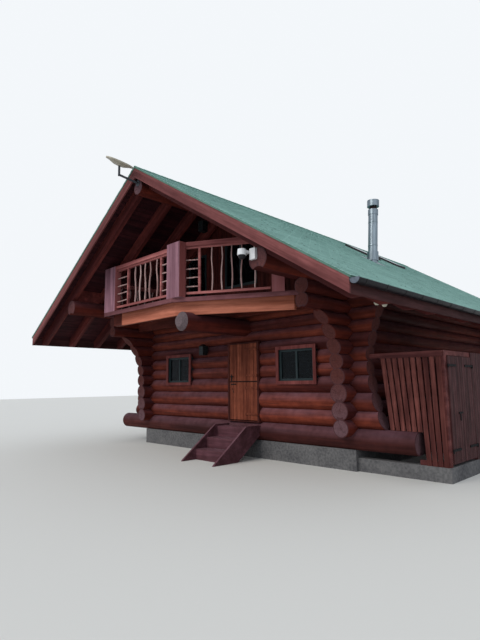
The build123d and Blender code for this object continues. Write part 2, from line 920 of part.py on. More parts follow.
# Gable walls of vertical boards on the flat top of the log walls
plate_space_x = side_wall_x - plate_diameter / 2 - fit
gable_outline = [
    (-plate_space_x, wall_top),
    (plate_space_x, wall_top),
    (plate_space_x, roof_z(plate_space_x, rafters_below)),
    (0, roof_z(0, rafters_below)),
    (-plate_space_x, roof_z(plate_space_x, rafters_below)),
]
plain_gable = fitted(profile_xz(gable_outline, gable_y0, gable_y1), [ridge_space])
loft_window_hole = block(
    loft_window_left, loft_window_right, gable_y0 - deep, gable_y1 + deep, loft_window_bottom, loft_window_top
)
solids = fitted(plain_gable, [balcony_doorway, loft_window_hole])
with BuildPart() as front_gable_wall:
    add(solids)
front_gable_wall.part.label = "front_gable_wall"
export_step(front_gable_wall.part, "parts/front_gable_wall.step")
solids = shifted(plain_gable, y=wall_spacing)
with BuildPart() as back_gable_wall:
    add(solids)
back_gable_wall.part.label = "back_gable_wall"
export_step(back_gable_wall.part, "parts/back_gable_wall.step")


def framed_opening(x0, x1, y0, y1, z0, z1, width, bars):
    """A frame round an opening, with upright bars between its sides."""
    with BuildPart() as frame:
        add(block(x0, x1, y0, y1, z0, z1))
        add(block(x0 + width, x1 - width, y0, y1, z0 + width, z1 - width), mode=Mode.SUBTRACT)
        for bar in bars:
            add(block(bar - width / 2, bar + width / 2, y0, y1, z0 + width, z1 - width))
    return frame.part


def panes(x0, x1, y, z0, z1, width, bars):
    """The sheets of glass between a frame's sides and its bars."""
    edges = [x0 + width / 2] + list(bars) + [x1 - width / 2]
    low, high = z0 + width + seat, z1 - width - seat
    half = glass_thickness / 2
    clear = width / 2 + seat
    return [block(a + clear, b - clear, y - half, y + half, low, high) for a, b in zip(edges, edges[1:])]


# Glazed door and window of the front gable
gable_frame_y0 = gable_y0 - gable_frame_proud
gable_frame_y1 = gable_frame_y0 + gable_frame_depth
gable_glass_y = (gable_frame_y0 + gable_frame_y1) / 2
loft_bar = (loft_window_left + loft_window_right) / 2
loft_opening = (loft_window_left + seat, loft_window_right - seat)
loft_heights = (loft_window_bottom + seat, loft_window_top - seat)
door_opening = (balcony_door_left + seat, balcony_door_right - seat)
door_heights = (deck_height, balcony_door_top - seat)
gable_depths = (gable_frame_y0, gable_frame_y1)
solids = framed_opening(*door_opening, *gable_depths, *door_heights, gable_frame_width, [])
with BuildPart() as balcony_door:
    add(solids)
balcony_door.part.label = "balcony_door"
export_step(balcony_door.part, "parts/balcony_door.step")
loft_frame = framed_opening(*loft_opening, *gable_depths, *loft_heights, gable_frame_width, [loft_bar])
with BuildPart() as loft_window:
    add(loft_frame)
loft_window.part.label = "loft_window"
export_step(loft_window.part, "parts/loft_window.step")
gable_panes = panes(*door_opening, gable_glass_y, *door_heights, gable_frame_width, [])
gable_panes += panes(*loft_opening, gable_glass_y, *loft_heights, gable_frame_width, [loft_bar])
with BuildPart() as gable_glass:
    add(gable_panes)
gable_glass.part.label = "gable_glass"
export_step(gable_glass.part, "parts/gable_glass.step")

# Windows of the ground floor: a lining through the wall, with the sash near its outer end
linings = []
window_panes = []
trims = []
lining_out = window_lining_depth / 2
for y, outward in ((front_wall_y, -1), (back_wall_y, 1)):
    outer_y = y + outward * lining_out
    sash_y = outer_y - outward * window_sash_depth
    sash_span = sorted((outer_y - outward * trim_thickness, sash_y - outward * trim_thickness))
    glass_y = sum(sash_span) / 2
    for x in window_xs:
        x0, x1 = x - window_width / 2, x + window_width / 2
        z0, z1 = window_sill_height, window_sill_height + window_height
        lining = framed_opening(x0, x1, y - lining_out, y + lining_out, z0, z1, window_lining, [])
        inner = (x0 + window_lining, x1 - window_lining, *sash_span, z0 + window_lining, z1 - window_lining)
        sash = framed_opening(*inner, window_sash, [x])
        linings += [lining + sash]
        pane_box = (inner[0], inner[1], glass_y, inner[4], inner[5])
        window_panes += panes(*pane_box, window_sash, [x])
        trim_y = sorted((outer_y, outer_y + outward * trim_thickness))
        reach = trim_width - window_lining
        trim = framed_opening(x0 - reach, x1 + reach, *trim_y, z0 - reach, z1 + reach, trim_width, [])
        trims.append(trim)
with BuildPart() as window_frames:
    add(linings)
window_frames.part.label = "window_frames"
export_step(window_frames.part, "parts/window_frames.step")
with BuildPart() as window_glass:
    add(window_panes)
window_glass.part.label = "window_glass"
export_step(window_glass.part, "parts/window_glass.step")
with BuildPart() as window_trims:
    add(trims)
window_trims.part.label = "window_trims"
export_step(window_trims.part, "parts/window_trims.step")


def pintle(x, y, z, plate):
    """The fixed half of a hinge: a pin standing on a bracket that a plate joins to the post."""
    with BuildPart() as fixed:
        pin_length = eye_height + bracket_height + 2 * pin_clearance
        add(rod((x, y, z - eye_height / 2 - bracket_height), (0, 0, 1), pin_length, 2 * pin_radius))
        bracket_top = z - eye_height / 2 - pin_clearance
        add(rod((x, y, bracket_top - bracket_height), (0, 0, 1), bracket_height, 2 * eye_radius))
        add(block(*plate, bracket_top - bracket_height, bracket_top))
    return fixed.part


def strap(x, y, z, x0, x1, y0, y1):
    """The moving half of a hinge: an eye round the pin and a strap along the leaf."""
    with BuildPart() as moving:
        add(rod((x, y, z - eye_height / 2), (0, 0, 1), eye_height, 2 * eye_radius))
        add(block(x0, x1, y0, y1, z - strap_height / 2, z + strap_height / 2))
        add(
            rod((x, y, z - eye_height), (0, 0, 1), 2 * eye_height, 2 * (pin_radius + pin_clearance)),
            mode=Mode.SUBTRACT,
        )
    return moving.part


# Stable door: a frame lining the wall, and two leaves hung on its right jamb
frame_y0 = front_wall_y - door_frame_depth / 2
frame_y1 = front_wall_y + door_frame_depth / 2
leaf_y0 = frame_y0 + swing_gap
leaf_y1 = leaf_y0 + door_thickness
leaf_x0, leaf_x1 = door_left + swing_gap, door_right - swing_gap
threshold_top = frame_bottom + door_threshold
head_bottom = door_head - door_threshold
hinge_x = door_right + eye_radius
hinge_y = frame_y0 - eye_radius - seat
strap_y1 = leaf_y0
strap_y0 = hinge_y - strap_thickness / 2
leaf_heights = (
    (door_sill_height, door_split_height - swing_gap / 2),
    (door_split_height + swing_gap / 2, head_bottom - swing_gap),
)
hinge_inset = 150.0
strap_length = 420.0
with BuildPart() as door_frame:
    add(block(frame_left, frame_right, frame_y0, frame_y1, frame_bottom, door_head - seat))
    add(
        block(door_left, door_right, frame_y0, frame_y1, threshold_top, head_bottom),
        mode=Mode.SUBTRACT,
    )
    stop_y0 = leaf_y1 + swing_gap
    add(block(door_left, door_left + 2 * door_board_groove, stop_y0, frame_y1, threshold_top, head_bottom))
    for low, high in leaf_heights:
        for z in (low + hinge_inset, high - hinge_inset):
            plate = (hinge_x, frame_right, hinge_y - eye_radius / 2, frame_y0)
            add(pintle(hinge_x, hinge_y, z, plate))
door_frame.part.label = "door_frame"
export_step(door_frame.part, "parts/door_frame.step")


def door_leaf(low, high):
    """One leaf of the stable door, of vertical boards, with its two straps."""
    with BuildPart() as leaf:
        add(block(leaf_x0, leaf_x1, leaf_y0, leaf_y1, low, high))
        groove_x = leaf_x0 + door_board_width
        groove_y = (leaf_y0 - 1, leaf_y0 + door_board_groove)
        while groove_x < leaf_x1 - door_board_groove:
            add(block(groove_x, groove_x + door_board_groove, *groove_y, low, high), mode=Mode.SUBTRACT)
            groove_x += door_board_width
        strap_x0 = leaf_x1 - strap_length
        for z in (low + hinge_inset, high - hinge_inset):
            half = strap_height / 2
            add(strap(hinge_x, hinge_y, z, strap_x0, hinge_x, strap_y0, strap_y0 + strap_thickness))
            add(block(strap_x0, leaf_x1, strap_y0, strap_y1, z - half, z + half))
    return leaf.part


handle_x = leaf_x0 + handle_inset
handle_z = leaf_heights[1][0] + handle_rise
plate_x = (handle_x - handle_plate[0], handle_x + handle_plate[0])
plate_z = (handle_z - handle_plate[1], handle_z + handle_plate[1])
lever_x = (handle_x - 10, handle_x + lever_length)
with BuildPart() as door_upper:
    add(door_leaf(*leaf_heights[1]))
    add(block(*plate_x, leaf_y0 - 8, leaf_y0, *plate_z))
    add(rod((handle_x, leaf_y0 - 8, handle_z + 30), (0, -1, 0), 45, 22))
    add(block(*lever_x, leaf_y0 - 60, leaf_y0 - 45, handle_z + 20, handle_z + 40))
door_upper.part.label = "door_upper"
export_step(door_upper.part, "parts/door_upper.step")
with BuildPart() as door_lower:
    add(door_leaf(*leaf_heights[0]))
    latch_z = leaf_heights[0][1] - latch_drop
    add(block(plate_x[0], handle_x + latch_length, leaf_y0 - 12, leaf_y0, latch_z - 14, latch_z + 14))
door_lower.part.label = "door_lower"
export_step(door_lower.part, "parts/door_lower.step")

# Balcony: deck, edge boards, rim boards and timbers
slant_end = side_wall_x - side_courses[beam_courses[1]].diameter / 2 + 2 * scribe_depth


def balcony_outline(inset, left_inset=None):
    """Plan outline of the balcony, drawn in from its front edges by a distance."""
    left = balcony_left + (inset if left_inset is None else left_inset)
    along = (1 + balcony_slant**2) ** 0.5
    front = back(balcony_front + inset)
    slant_start = balcony_corner_x - inset * (along - 1) / balcony_slant
    slant_front = front + (slant_end - slant_start) * balcony_slant
    rear = front_wall_y
    return [(left, front), (slant_start, front), (slant_end, slant_front), (slant_end, rear), (left, rear)]


deck_spaces = beam_spaces + top_log_spaces[:1]
deck = profile_xy(balcony_outline(balcony_edge_thickness + seat), deck_bottom, deck_height)
solids = fitted(deck, deck_spaces)
with BuildPart() as balcony_floor:
    add(solids)
balcony_floor.part.label = "balcony_floor"
export_step(balcony_floor.part, "parts/balcony_floor.step")
edge_heights = (deck_height - balcony_edge_depth, deck_height)
edge_inside = profile_xy(balcony_outline(balcony_edge_thickness), *edge_heights)
timber_top = deck_bottom - seat
timber_bottom = timber_top - cross_timber_depth
rear_timber = block(
    -slant_end,
    slant_end,
    back(rear_timber_back),
    back(rear_timber_back) + cross_timber_width,
    timber_bottom,
    timber_top,
)
edge_cutters = [edge_inside, rear_timber] + deck_spaces
solids = fitted(profile_xy(balcony_outline(0), *edge_heights), edge_cutters)
with BuildPart() as balcony_edge_boards:
    add(solids)
balcony_edge_boards.part.label = "balcony_edge_boards"
export_step(balcony_edge_boards.part, "parts/balcony_edge_boards.step")

rim_bottom = deck_bottom - seat - rim_depth
rim_outer = profile_xy(balcony_outline(rim_setback), rim_bottom, deck_bottom - seat)
rim_inner = profile_xy(balcony_outline(rim_setback + rim_thickness, rim_setback), rim_bottom, deck_bottom)
rim_span = [block(rim_left, rim_right, rake_y, front_wall_y - deep, rim_bottom, deck_bottom)]
beam_space = rod(
    (centre_beam_x, rake_y, centre_beam_z), (0, 1, 0), front_overhang, centre_beam_diameter + 2 * scribe_gap
)
solids = fitted(rim_outer, [rim_inner, beam_space], rim_span)
with BuildPart() as balcony_rim_boards:
    add(solids)
balcony_rim_boards.part.label = "balcony_rim_boards"
export_step(balcony_rim_boards.part, "parts/balcony_rim_boards.step")

rim_inset = rim_setback + rim_thickness + seat
inside_rim = profile_xy(
    balcony_outline(rim_inset, balcony_edge_thickness + seat), timber_bottom, timber_top
)
front_timber = block(
    balcony_left,
    slant_end,
    back(front_timber_back),
    back(front_timber_back) + cross_timber_width,
    timber_bottom,
    timber_top,
)
timbers = [fitted(front_timber, [beam_space], [inside_rim]), fitted(rear_timber, [beam_space] + beam_spaces)]
with BuildPart() as balcony_timbers:
    add(timbers)
balcony_timbers.part.label = "balcony_timbers"
export_step(balcony_timbers.part, "parts/balcony_timbers.step")

# Balcony railing: wide plank posts, rails, peeled sticks and rungs
rail_top = deck_height + railing_height
left_post_x1 = balcony_left + left_post_width
post_y0 = back(balcony_front)
post_y1 = post_y0 + post_thickness
rail_y = post_y0 + post_thickness / 2
slant_angle = degrees(atan(balcony_slant))
slant_cos = cos(atan(balcony_slant))
slant_line = rail_y + (1 / slant_cos - 1) * post_thickness / 2


def slant_y(x):
    """World Y of the middle of the slanted railing."""
    return slant_line + (x - balcony_corner_x) * balcony_slant


def slanted_block(x, length, width, z0, z1):
    """A timber in the slanted railing, from one place along it."""
    plane = Plane(origin=(x, slant_y(x), z0)).rotated((0, 0, slant_angle))
    with BuildPart(plane) as timber:
        Box(length, width, z1 - z0, align=(Align.MIN, Align.CENTER, Align.MIN))
    return timber.part


def stick(x, y, z0, z1, sway, along=(1, 0)):
    """An upright peeled stick that sways a little along its panel."""
    with BuildPart() as piece:
        for number, share in enumerate(stick_bends):
            with BuildSketch(Plane.XY.offset(z0 + number * (z1 - z0) / (len(stick_bends) - 1))):
                with Locations((x + sway * share * along[0], y + sway * share * along[1])):
                    RegularPolygon(radius=stick_diameter / 2, side_count=6)
        loft(ruled=True)
    return piece.part


def rung(start, direction, length):
    """A short peeled stick that lies level between two uprights."""
    with BuildPart() as piece:
        with BuildSketch(Plane(origin=start, z_dir=direction)):
            RegularPolygon(radius=rung_diameter / 2, side_count=8)
        extrude(amount=length)
    return piece.part


second_bottom = rail_top - top_rail_height - second_rail_height
bottom_rail_bottom = deck_height + bottom_rail_lift
bottom_rail_top = bottom_rail_bottom + bottom_rail_height
left_post = block(balcony_left, left_post_x1, post_y0, post_y1, deck_height, rail_top)
right_top = rail_top + right_rail_rise
centre_post = block(centre_post_left, centre_post_right, post_y0, post_y1, deck_height, right_top)
right_second = second_bottom + right_rail_rise
post_heights = (deck_height, right_second - seat)
right_post = slanted_block(right_post_start, right_post_width, post_thickness, *post_heights)
right_post = fitted(right_post, [], [under_rafters(rake_y, front_wall_y)])
with BuildPart() as balcony_posts:
    add([left_post, centre_post, right_post])
balcony_posts.part.label = "balcony_posts"
export_step(balcony_posts.part, "parts/balcony_posts.step")


def straight_rail(x0, x1, width, z0, z1):
    """A rail of the front panel."""
    return block(x0, x1, rail_y - width / 2, rail_y + width / 2, z0, z1)


front_span = (left_post_x1, centre_post_left)
left_rails = [
    straight_rail(*front_span, top_rail_width, rail_top - top_rail_height, rail_top),
    straight_rail(*front_span, rail_width, second_bottom, rail_top - top_rail_height),
    straight_rail(*front_span, rail_width, bottom_rail_bottom, bottom_rail_top),
]
for x in (left_divider, middle_divider):
    half = divider_width / 2
    left_rails.append(straight_rail(x - half, x + half, divider_width, bottom_rail_top, second_bottom))

slant_rail_start = centre_post_left + deep / 2
rafter_face = rafter_ys[2] - rafter_half - seat
slant_length = (roof_half_width - slant_rail_start) / slant_cos
right_reach = (right_post_start - slant_rail_start) / slant_cos
right_rails = [
    slanted_block(slant_rail_start, slant_length, top_rail_width, right_top - top_rail_height, right_top),
    slanted_block(slant_rail_start, slant_length, rail_width, right_second, right_top - top_rail_height),
    slanted_block(slant_rail_start, right_reach, rail_width, bottom_rail_bottom, bottom_rail_top),
]
for x in (end_divider, right_divider):
    start = x - divider_width / 2 * slant_cos
    right_rails.append(slanted_block(start, divider_width, divider_width, bottom_rail_top, right_second))
clear_of_rafter = block(slant_rail_start, roof_half_width, rake_y, rafter_face, 0, apex_height)
with BuildPart() as right_panel:
    add(right_rails)
    add(clear_of_rafter, mode=Mode.INTERSECT)
    add(centre_post, mode=Mode.SUBTRACT)

return_x = balcony_left + post_thickness / 2
return_top = deck_height + return_rail_height
return_span = (post_y1, gable_y0)
return_low = (return_x - rail_width / 2, return_x + rail_width / 2, post_y1, back(front_overhang) - deep / 2)
return_high = (return_x - rail_width / 2, return_x + rail_width / 2, *return_span)
left_return = [
    block(*return_high, return_top - top_rail_height, return_top),
    block(*return_low, bottom_rail_bottom, bottom_rail_top),
]
with BuildPart() as balcony_rails:
    add([*left_rails, right_panel.part, *left_return])
balcony_rails.part.label = "balcony_rails"
export_step(balcony_rails.part, "parts/balcony_rails.step")

sticks = []
for x, sway in zip(left_sticks, stick_sways):
    sticks.append(stick(x, rail_y, bottom_rail_top, second_bottom, sway))
for x, sway in zip(right_sticks, stick_sways):
    sticks.append(stick(x, slant_y(x), bottom_rail_top, right_second, sway / 2, (1, balcony_slant)))
for y, sway in zip(return_sticks, stick_sways):
    sticks.append(stick(return_x, back(y), bottom_rail_top, return_top - top_rail_height, sway, (0, 1)))
rung_bays = [
    ((left_post_x1, rail_y), (1, 0, 0), left_divider - divider_width / 2 - left_post_x1),
    (
        (middle_divider + divider_width / 2, rail_y),
        (1, 0, 0),
        centre_post_left - middle_divider - divider_width / 2,
    ),
]
slant_start_x = end_divider + divider_width / 2 * slant_cos
slant_rung = (right_divider - end_divider) / slant_cos - divider_width
rung_bays.append(((slant_start_x, slant_y(slant_start_x)), (1, balcony_slant, 0), slant_rung))
for (x, y), direction, length in rung_bays:
    for rise in rung_heights:
        sticks.append(rung((x, y, deck_height + rise), direction, length))
with BuildPart() as balcony_sticks:
    add(sticks)
balcony_sticks.part.label = "balcony_sticks"
export_step(balcony_sticks.part, "parts/balcony_sticks.step")

# Steps: two stringers and three treads with their risers
stringer_outline = [(back(distance), height) for distance, height in stringer_points]
stringers = [
    fitted(profile_yz(stringer_outline, x0, x0 + stringer_thickness), sill_spaces[:1])
    for x0 in (stringer_left, stringer_right - stringer_thickness)
]
with BuildPart() as step_stringers:
    add(stringers)
step_stringers.part.label = "step_stringers"
export_step(step_stringers.part, "parts/step_stringers.step")
treads = []
tread_x0, tread_x1 = stringer_left + stringer_thickness, stringer_right - stringer_thickness
for number in range(step_count):
    front = back(first_step_front + number * step_going)
    top = (number + 1) * step_rise
    with BuildPart() as tread:
        add(block(tread_x0, tread_x1, front, front + tread_depth, top - tread_thickness, top))
        add(block(tread_x0, tread_x1, front, front + stringer_thickness / 2, top - step_rise, top))
    treads.append(tread.part)
with BuildPart() as step_treads:
    add(treads)
step_treads.part.label = "step_treads"
export_step(step_treads.part, "parts/step_treads.step")

# Flue with its collar, neck and cap, and the flashing where it leaves the roof
flue_bottom = roof_z(flue_x, underside_below)
cap_low = flue_top - flue_cap_height
neck_low = cap_low - flue_neck_height
collar_low = neck_low - flue_collar_height
flue_lengths = [
    flue_rod(flue_bottom, neck_low, flue_diameter),
    flue_rod(collar_low, neck_low, flue_collar_diameter),
    flue_rod(neck_low, cap_low, flue_neck_diameter),
    flue_rod(cap_low, flue_top, flue_cap_diameter),
]
half_flashing = flashing_width / 2
flashing_plate = slope_strip(
    flue_x - half_flashing,
    flue_x + half_flashing,
    -seat - flashing_thickness,
    flashing_thickness,
    flue_y - half_flashing,
    flue_y + half_flashing,
)
collar_diameter = flue_diameter + 8 * flashing_thickness
flashing_collar = flue_rod(roof_z(flue_x), roof_z(flue_x) + flue_diameter, collar_diameter)
under_flashing = slope_strip(
    flue_x - flashing_width,
    flue_x + flashing_width,
    -seat,
    deep,
    flue_y - flashing_width,
    flue_y + flashing_width,
)
flashing = fitted([flashing_plate, flashing_collar], [under_flashing])
with BuildPart() as flue:
    add(flue_lengths + [flashing])
flue.part.label = "flue"
export_step(flue.part, "parts/flue.step")

# Roof windows: a curb through the boards and covering with a sheet of glass in it
curbs = []
curb_panes = []
for centre in skylight_bays:
    y0, y1 = back(centre) - skylight_width / 2 + seat, back(centre) + skylight_width / 2 - seat
    x0, x1 = skylight_in + seat, skylight_out - seat
    curb = slope_strip(x0, x1, -skylight_rise, skylight_rise + boards_below + roof_board_thickness, y0, y1)
    light = (x0 + skylight_curb, x1 - skylight_curb, -deep, 2 * deep, y0 + skylight_curb, y1 - skylight_curb)
    curbs.append(fitted(curb, [slope_strip(*light)]))
    x0, x1 = x0 + skylight_curb + seat, x1 - skylight_curb - seat
    y0, y1 = y0 + skylight_curb + seat, y1 - skylight_curb - seat
    curb_panes.append(slope_strip(x0, x1, -skylight_rise, glass_thickness, y0, y1))
with BuildPart() as skylight_curbs:
    add(curbs)
skylight_curbs.part.label = "skylight_curbs"
export_step(skylight_curbs.part, "parts/skylight_curbs.step")
with BuildPart() as skylight_glass:
    add(curb_panes)
skylight_glass.part.label = "skylight_glass"
export_step(skylight_glass.part, "parts/skylight_glass.step")

# Gutter along the right eave
gutter_x = fascia_outer + seat + gutter_radius
gutter_y0, gutter_y1 = rake_y + gutter_inset, rear_rake_y - gutter_inset
upper_half = (gutter_x - gutter_radius, gutter_x + gutter_radius, gutter_y0, gutter_y1)
gutter_log = rod((gutter_x, gutter_y0, gutter_height), (0, 1, 0), gutter_y1 - gutter_y0, 2 * gutter_radius)
gutter_bore = rod(
    (gutter_x, gutter_y0 + gutter_wall, gutter_height),
    (0, 1, 0),
    gutter_y1 - gutter_y0 - 2 * gutter_wall,
    2 * (gutter_radius - gutter_wall),
)
upper_block = block(*upper_half, gutter_height, gutter_height + gutter_radius)
solids = fitted(gutter_log, [gutter_bore, upper_block])
with BuildPart() as gutter:
    add(solids)
gutter.part.label = "gutter"
export_step(gutter.part, "parts/gutter.step")


# Aerial on the front end of the ridge log
def dish(grow):
    """A flat-topped round aerial with a shallow belly, on its tilted axis."""
    plane = Plane(origin=(0, back(mast_back), mast_top), z_dir=(0.42, 0.1, 0.9))
    with BuildPart(plane) as body:
        Cylinder(dish_diameter / 2 + grow, dish_thickness, align=(Align.CENTER, Align.CENTER, Align.MIN))
        with BuildSketch(plane):
            Circle(dish_diameter / 2 - dish_thickness + grow)
        with BuildSketch(plane.offset(-dish_depth - grow)):
            Circle(dish_diameter / 5)
        loft()
    return body.part


solids = dish(0)
with BuildPart() as antenna_dish:
    add(solids)
antenna_dish.part.label = "antenna_dish"
export_step(antenna_dish.part, "parts/antenna_dish.step")
ridge_end = rake_y + ridge_log_back_from_rake
arm_foot = (0, ridge_end - seat, arm_height - mast_diameter)
arm_bend = (0, back(mast_back), arm_height)
arm_vector = Vector(*arm_bend) - Vector(*arm_foot)
with BuildPart() as bent_arm:
    add(rod(arm_foot, (0, -1, 0), mast_diameter / 4, 3 * mast_diameter))
    add(rod(arm_foot, arm_vector, arm_vector.length, mast_diameter))
    mast_foot = (arm_bend[0], arm_bend[1], arm_height - mast_diameter / 2)
    add(rod(mast_foot, (0, 0, 1), mast_top - mast_foot[2], mast_diameter))
    add(block(-deep, deep, ridge_end - seat, ridge_end + deep, 0, apex_height), mode=Mode.SUBTRACT)
    add(dish(seat), mode=Mode.SUBTRACT)
solids = bent_arm.part.solids().sort_by(SortBy.VOLUME)[-1]
with BuildPart() as antenna_arm:
    add(solids)
antenna_arm.part.label = "antenna_arm"
export_step(antenna_arm.part, "parts/antenna_arm.step")

# Camera on the end of the right plate log: a box, an arm and a domed body
plate_end_y = rake_y + plate_back_from_rake
camera_box_depth = 60.0
camera_box_x = (camera_box_x0, camera_box_x1)
camera_box_y = (plate_end_y - camera_box_depth, plate_end_y - seat)
camera_box = block(*camera_box_x, *camera_box_y, camera_box_z0, camera_box_z1)
camera_y = plate_end_y - camera_diameter
with BuildPart() as dome_camera:
    add(camera_box)
    arm_y0 = camera_y - camera_arm / 2
    arm_z1 = camera_z + camera_diameter / 2
    arm_y1 = plate_end_y - camera_box_depth / 2
    add(block(camera_x, camera_box_x0, arm_y0, arm_y1, arm_z1 - camera_arm, arm_z1))
    for level, share in ((0, 1), (0.65, 0.9)):
        with BuildSketch(Plane.XY.offset(camera_z + level * camera_diameter)):
            with Locations((camera_x, camera_y)):
                RegularPolygon(radius=share * camera_diameter / 2, side_count=16)
    loft(ruled=True)
    for level, share in ((0, 0.82), (-0.25, 0.74), (-0.45, 0.35)):
        with BuildSketch(Plane.XY.offset(camera_z + level * camera_diameter)):
            with Locations((camera_x, camera_y)):
                RegularPolygon(radius=share * camera_diameter / 2, side_count=16)
    loft(ruled=True)
dome_camera.part.label = "dome_camera"
export_step(dome_camera.part, "parts/dome_camera.step")

# Lamps: a lantern on the front wall, one hung from the ridge log, and one under the right eave
lantern_wall = front_wall_y - front_courses[door_courses - 1].diameter / 2 - seat


def lantern(x, y, z, width, height):
    """A square lantern with a pyramid lid, from the bottom of its body up."""
    lid = height / 4
    with BuildPart() as body:
        add(block(x - width / 2, x + width / 2, y - width / 2, y + width / 2, z, z + height))
        with BuildSketch(Plane.XY.offset(z + height)):
            with Locations((x, y)):
                Rectangle(width * 1.2, width * 1.2)
        with BuildSketch(Plane.XY.offset(z + height + lid)):
            with Locations((x, y)):
                Rectangle(width / 4, width / 4)
        loft()
    return body.part


lantern_y = lantern_wall - lantern_reach
with BuildPart() as wall_lantern:
    add(lantern(lantern_x, lantern_y, lantern_z - lantern_size[0], *lantern_size))
    plate_x = (lantern_x - 40, lantern_x + 40)
    add(block(*plate_x, lantern_wall - 16, lantern_wall, lantern_z - 90, lantern_z + 90))
    add(block(lantern_x - 12, lantern_x + 12, lantern_y, lantern_wall, lantern_z - 12, lantern_z + 12))
hanging_y = back(hanging_back)
rod_bottom = hanging_bottom + hanging_size[1]
hanging_top = ridge_log_height - ridge_log_diameter / 2 - seat
with BuildPart() as hanging_lantern:
    add(lantern(0, hanging_y, hanging_bottom, *hanging_size))
    add(rod((0, hanging_y, rod_bottom), (0, 0, 1), hanging_top - rod_bottom, hanging_rod))
with BuildPart() as lanterns:
    add([wall_lantern.part, hanging_lantern.part])
lanterns.part.label = "lanterns"
export_step(lanterns.part, "parts/lanterns.step")

lamp_y = rafter_ys[2]
lamp_plate = slope_strip(lamp_x - 60, lamp_x + 60, underside_below + seat, 25, lamp_y - 50, lamp_y + 50)
lamp_z = roof_z(lamp_x, underside_below + seat) - 75
head_ys = [lamp_y + shift for shift in lamp_heads]
lamp_bar = block(lamp_x - 15, lamp_x + 15, *head_ys, lamp_z - 15, lamp_z + 15)
lamp_neck = block(lamp_x - 15, lamp_x + 15, lamp_y - 15, lamp_y + 15, lamp_z, lamp_z + 60)
with BuildPart() as eave_lamp:
    add([lamp_plate, lamp_bar, lamp_neck])
    for head_y in head_ys:
        for share, level in lamp_profile:
            with BuildSketch(Plane.XY.offset(lamp_z + level)):
                with Locations((lamp_x, head_y)):
                    RegularPolygon(radius=lamp_head_radius * share, side_count=12)
        loft(ruled=True)
eave_lamp.part.label = "eave_lamp"
export_step(eave_lamp.part, "parts/eave_lamp.step")

# Side store: a kerb, a frame of posts and rails, slats in front and boards at the side
store_y0 = back(store_front)
store_y1 = back(store_back)
frame_x1 = store_x - board_thickness
frame_x0 = frame_x1 - store_post
kerb_inner_x = outer_x + seat
kerb = [
    block(kerb_inner_x, store_x, store_y0 - kerb_width / 5, store_y0 + kerb_width, 0, kerb_height),
    block(store_x - kerb_width, store_x, store_y0 - kerb_width / 5, store_y1, 0, kerb_height),
    block(kerb_inner_x, store_x, store_y1 - kerb_width, store_y1, 0, kerb_height),
]
with BuildPart() as store_kerb:
    add(kerb)
store_kerb.part.label = "store_kerb"
export_step(store_kerb.part, "parts/store_kerb.step")

gate_y0 = back(gate_start)
gate_y1 = back(gate_end)
rail_low = store_top - rail_height
rear_post_x0 = side_wall_x + max(course.diameter for course in side_courses) / 2 + seat
last_post_y = store_y1 - board_thickness - store_post
post_ys = [gate_y1, (gate_y1 + last_post_y) / 2, last_post_y]
store_posts = [block(frame_x0, frame_x1, store_y0, gate_y0, kerb_height, store_top)]
for y in post_ys:
    store_posts.append(block(frame_x0, frame_x1, y, y + store_post, kerb_height, store_top))
rear_y1 = store_y1 - board_thickness
rear_y0 = rear_y1 - store_post
store_posts.append(block(rear_post_x0, rear_post_x0 + store_post, rear_y0, rear_y1, kerb_height, store_top))
middle_rail = (kerb_height + store_top) / 2
store_rails = [block(frame_x0, frame_x1, store_y0, rear_y1, rail_low, store_top)]
for z in (kerb_height, middle_rail):
    store_rails.append(block(frame_x1 - rail_thickness, frame_x1, gate_y1, rear_y1, z, z + rail_height))
    store_rails.append(block(rear_post_x0, frame_x1, rear_y1 - rail_thickness, rear_y1, z, z + rail_height))
store_rails.append(block(rear_post_x0, frame_x1, rear_y1 - rail_thickness, rear_y1, rail_low, store_top))
front_rail_y = (store_y0, store_y0 + rail_thickness)
bottom_rail_x0 = sill_log_end + fit
store_rails.append(block(bottom_rail_x0, frame_x1, *front_rail_y, kerb_height, kerb_height + rail_height))
top_rail = block(side_wall_x, frame_x1, *front_rail_y, rail_low, store_top)
store_rails.append(fitted(top_rail, [shifted(front_inside, x=seat)]))

slats = []
for number in range(slat_count):
    share = number / (slat_count - 1)
    foot_x = slat_foot_span[0] + share * (slat_foot_span[1] - slat_foot_span[0])
    top_x = slat_top_span[0] + share * (slat_top_span[1] - slat_top_span[0])
    lean = (top_x - foot_x) / (store_top - kerb_height)
    z0 = seams[0] + fit if foot_x < sill_log_end + slat_width / 2 else kerb_height
    low_x = foot_x + lean * (z0 - kerb_height)
    outline = [(low_x, z0), (low_x + slat_width, z0), (top_x + slat_width, store_top), (top_x, store_top)]
    slats.append(profile_xz(outline, store_y0 - board_thickness, store_y0))
with BuildPart() as store_front_slats:
    add(slats)
store_front_slats.part.label = "store_front_slats"
export_step(store_front_slats.part, "parts/store_front_slats.step")


def grooved_panel(y0, y1, z0, z1, board):
    """Upright boards in one panel on the store's side, parted by grooves on their outer face."""
    with BuildPart() as panel:
        add(block(frame_x1, store_x, y0, y1, z0, z1))
        y = y0 + board
        while y < y1 - board_gap:
            groove = block(store_x - board_thickness / 2, store_x + 1, y, y + board_gap, z0, z1)
            add(groove, mode=Mode.SUBTRACT)
            y += board + board_gap
    return panel.part


side_boards = grooved_panel(gate_y1 + gate_clear, store_y1, kerb_height, store_top, board_width)
with BuildPart() as store_side_boards:
    add(side_boards)
store_side_boards.part.label = "store_side_boards"
export_step(store_side_boards.part, "parts/store_side_boards.step")
rear_boards = block(rear_post_x0, frame_x1, rear_y1, store_y1, kerb_height, store_top)
with BuildPart() as store_rear_boards:
    add(rear_boards)
store_rear_boards.part.label = "store_rear_boards"
export_step(store_rear_boards.part, "parts/store_rear_boards.step")

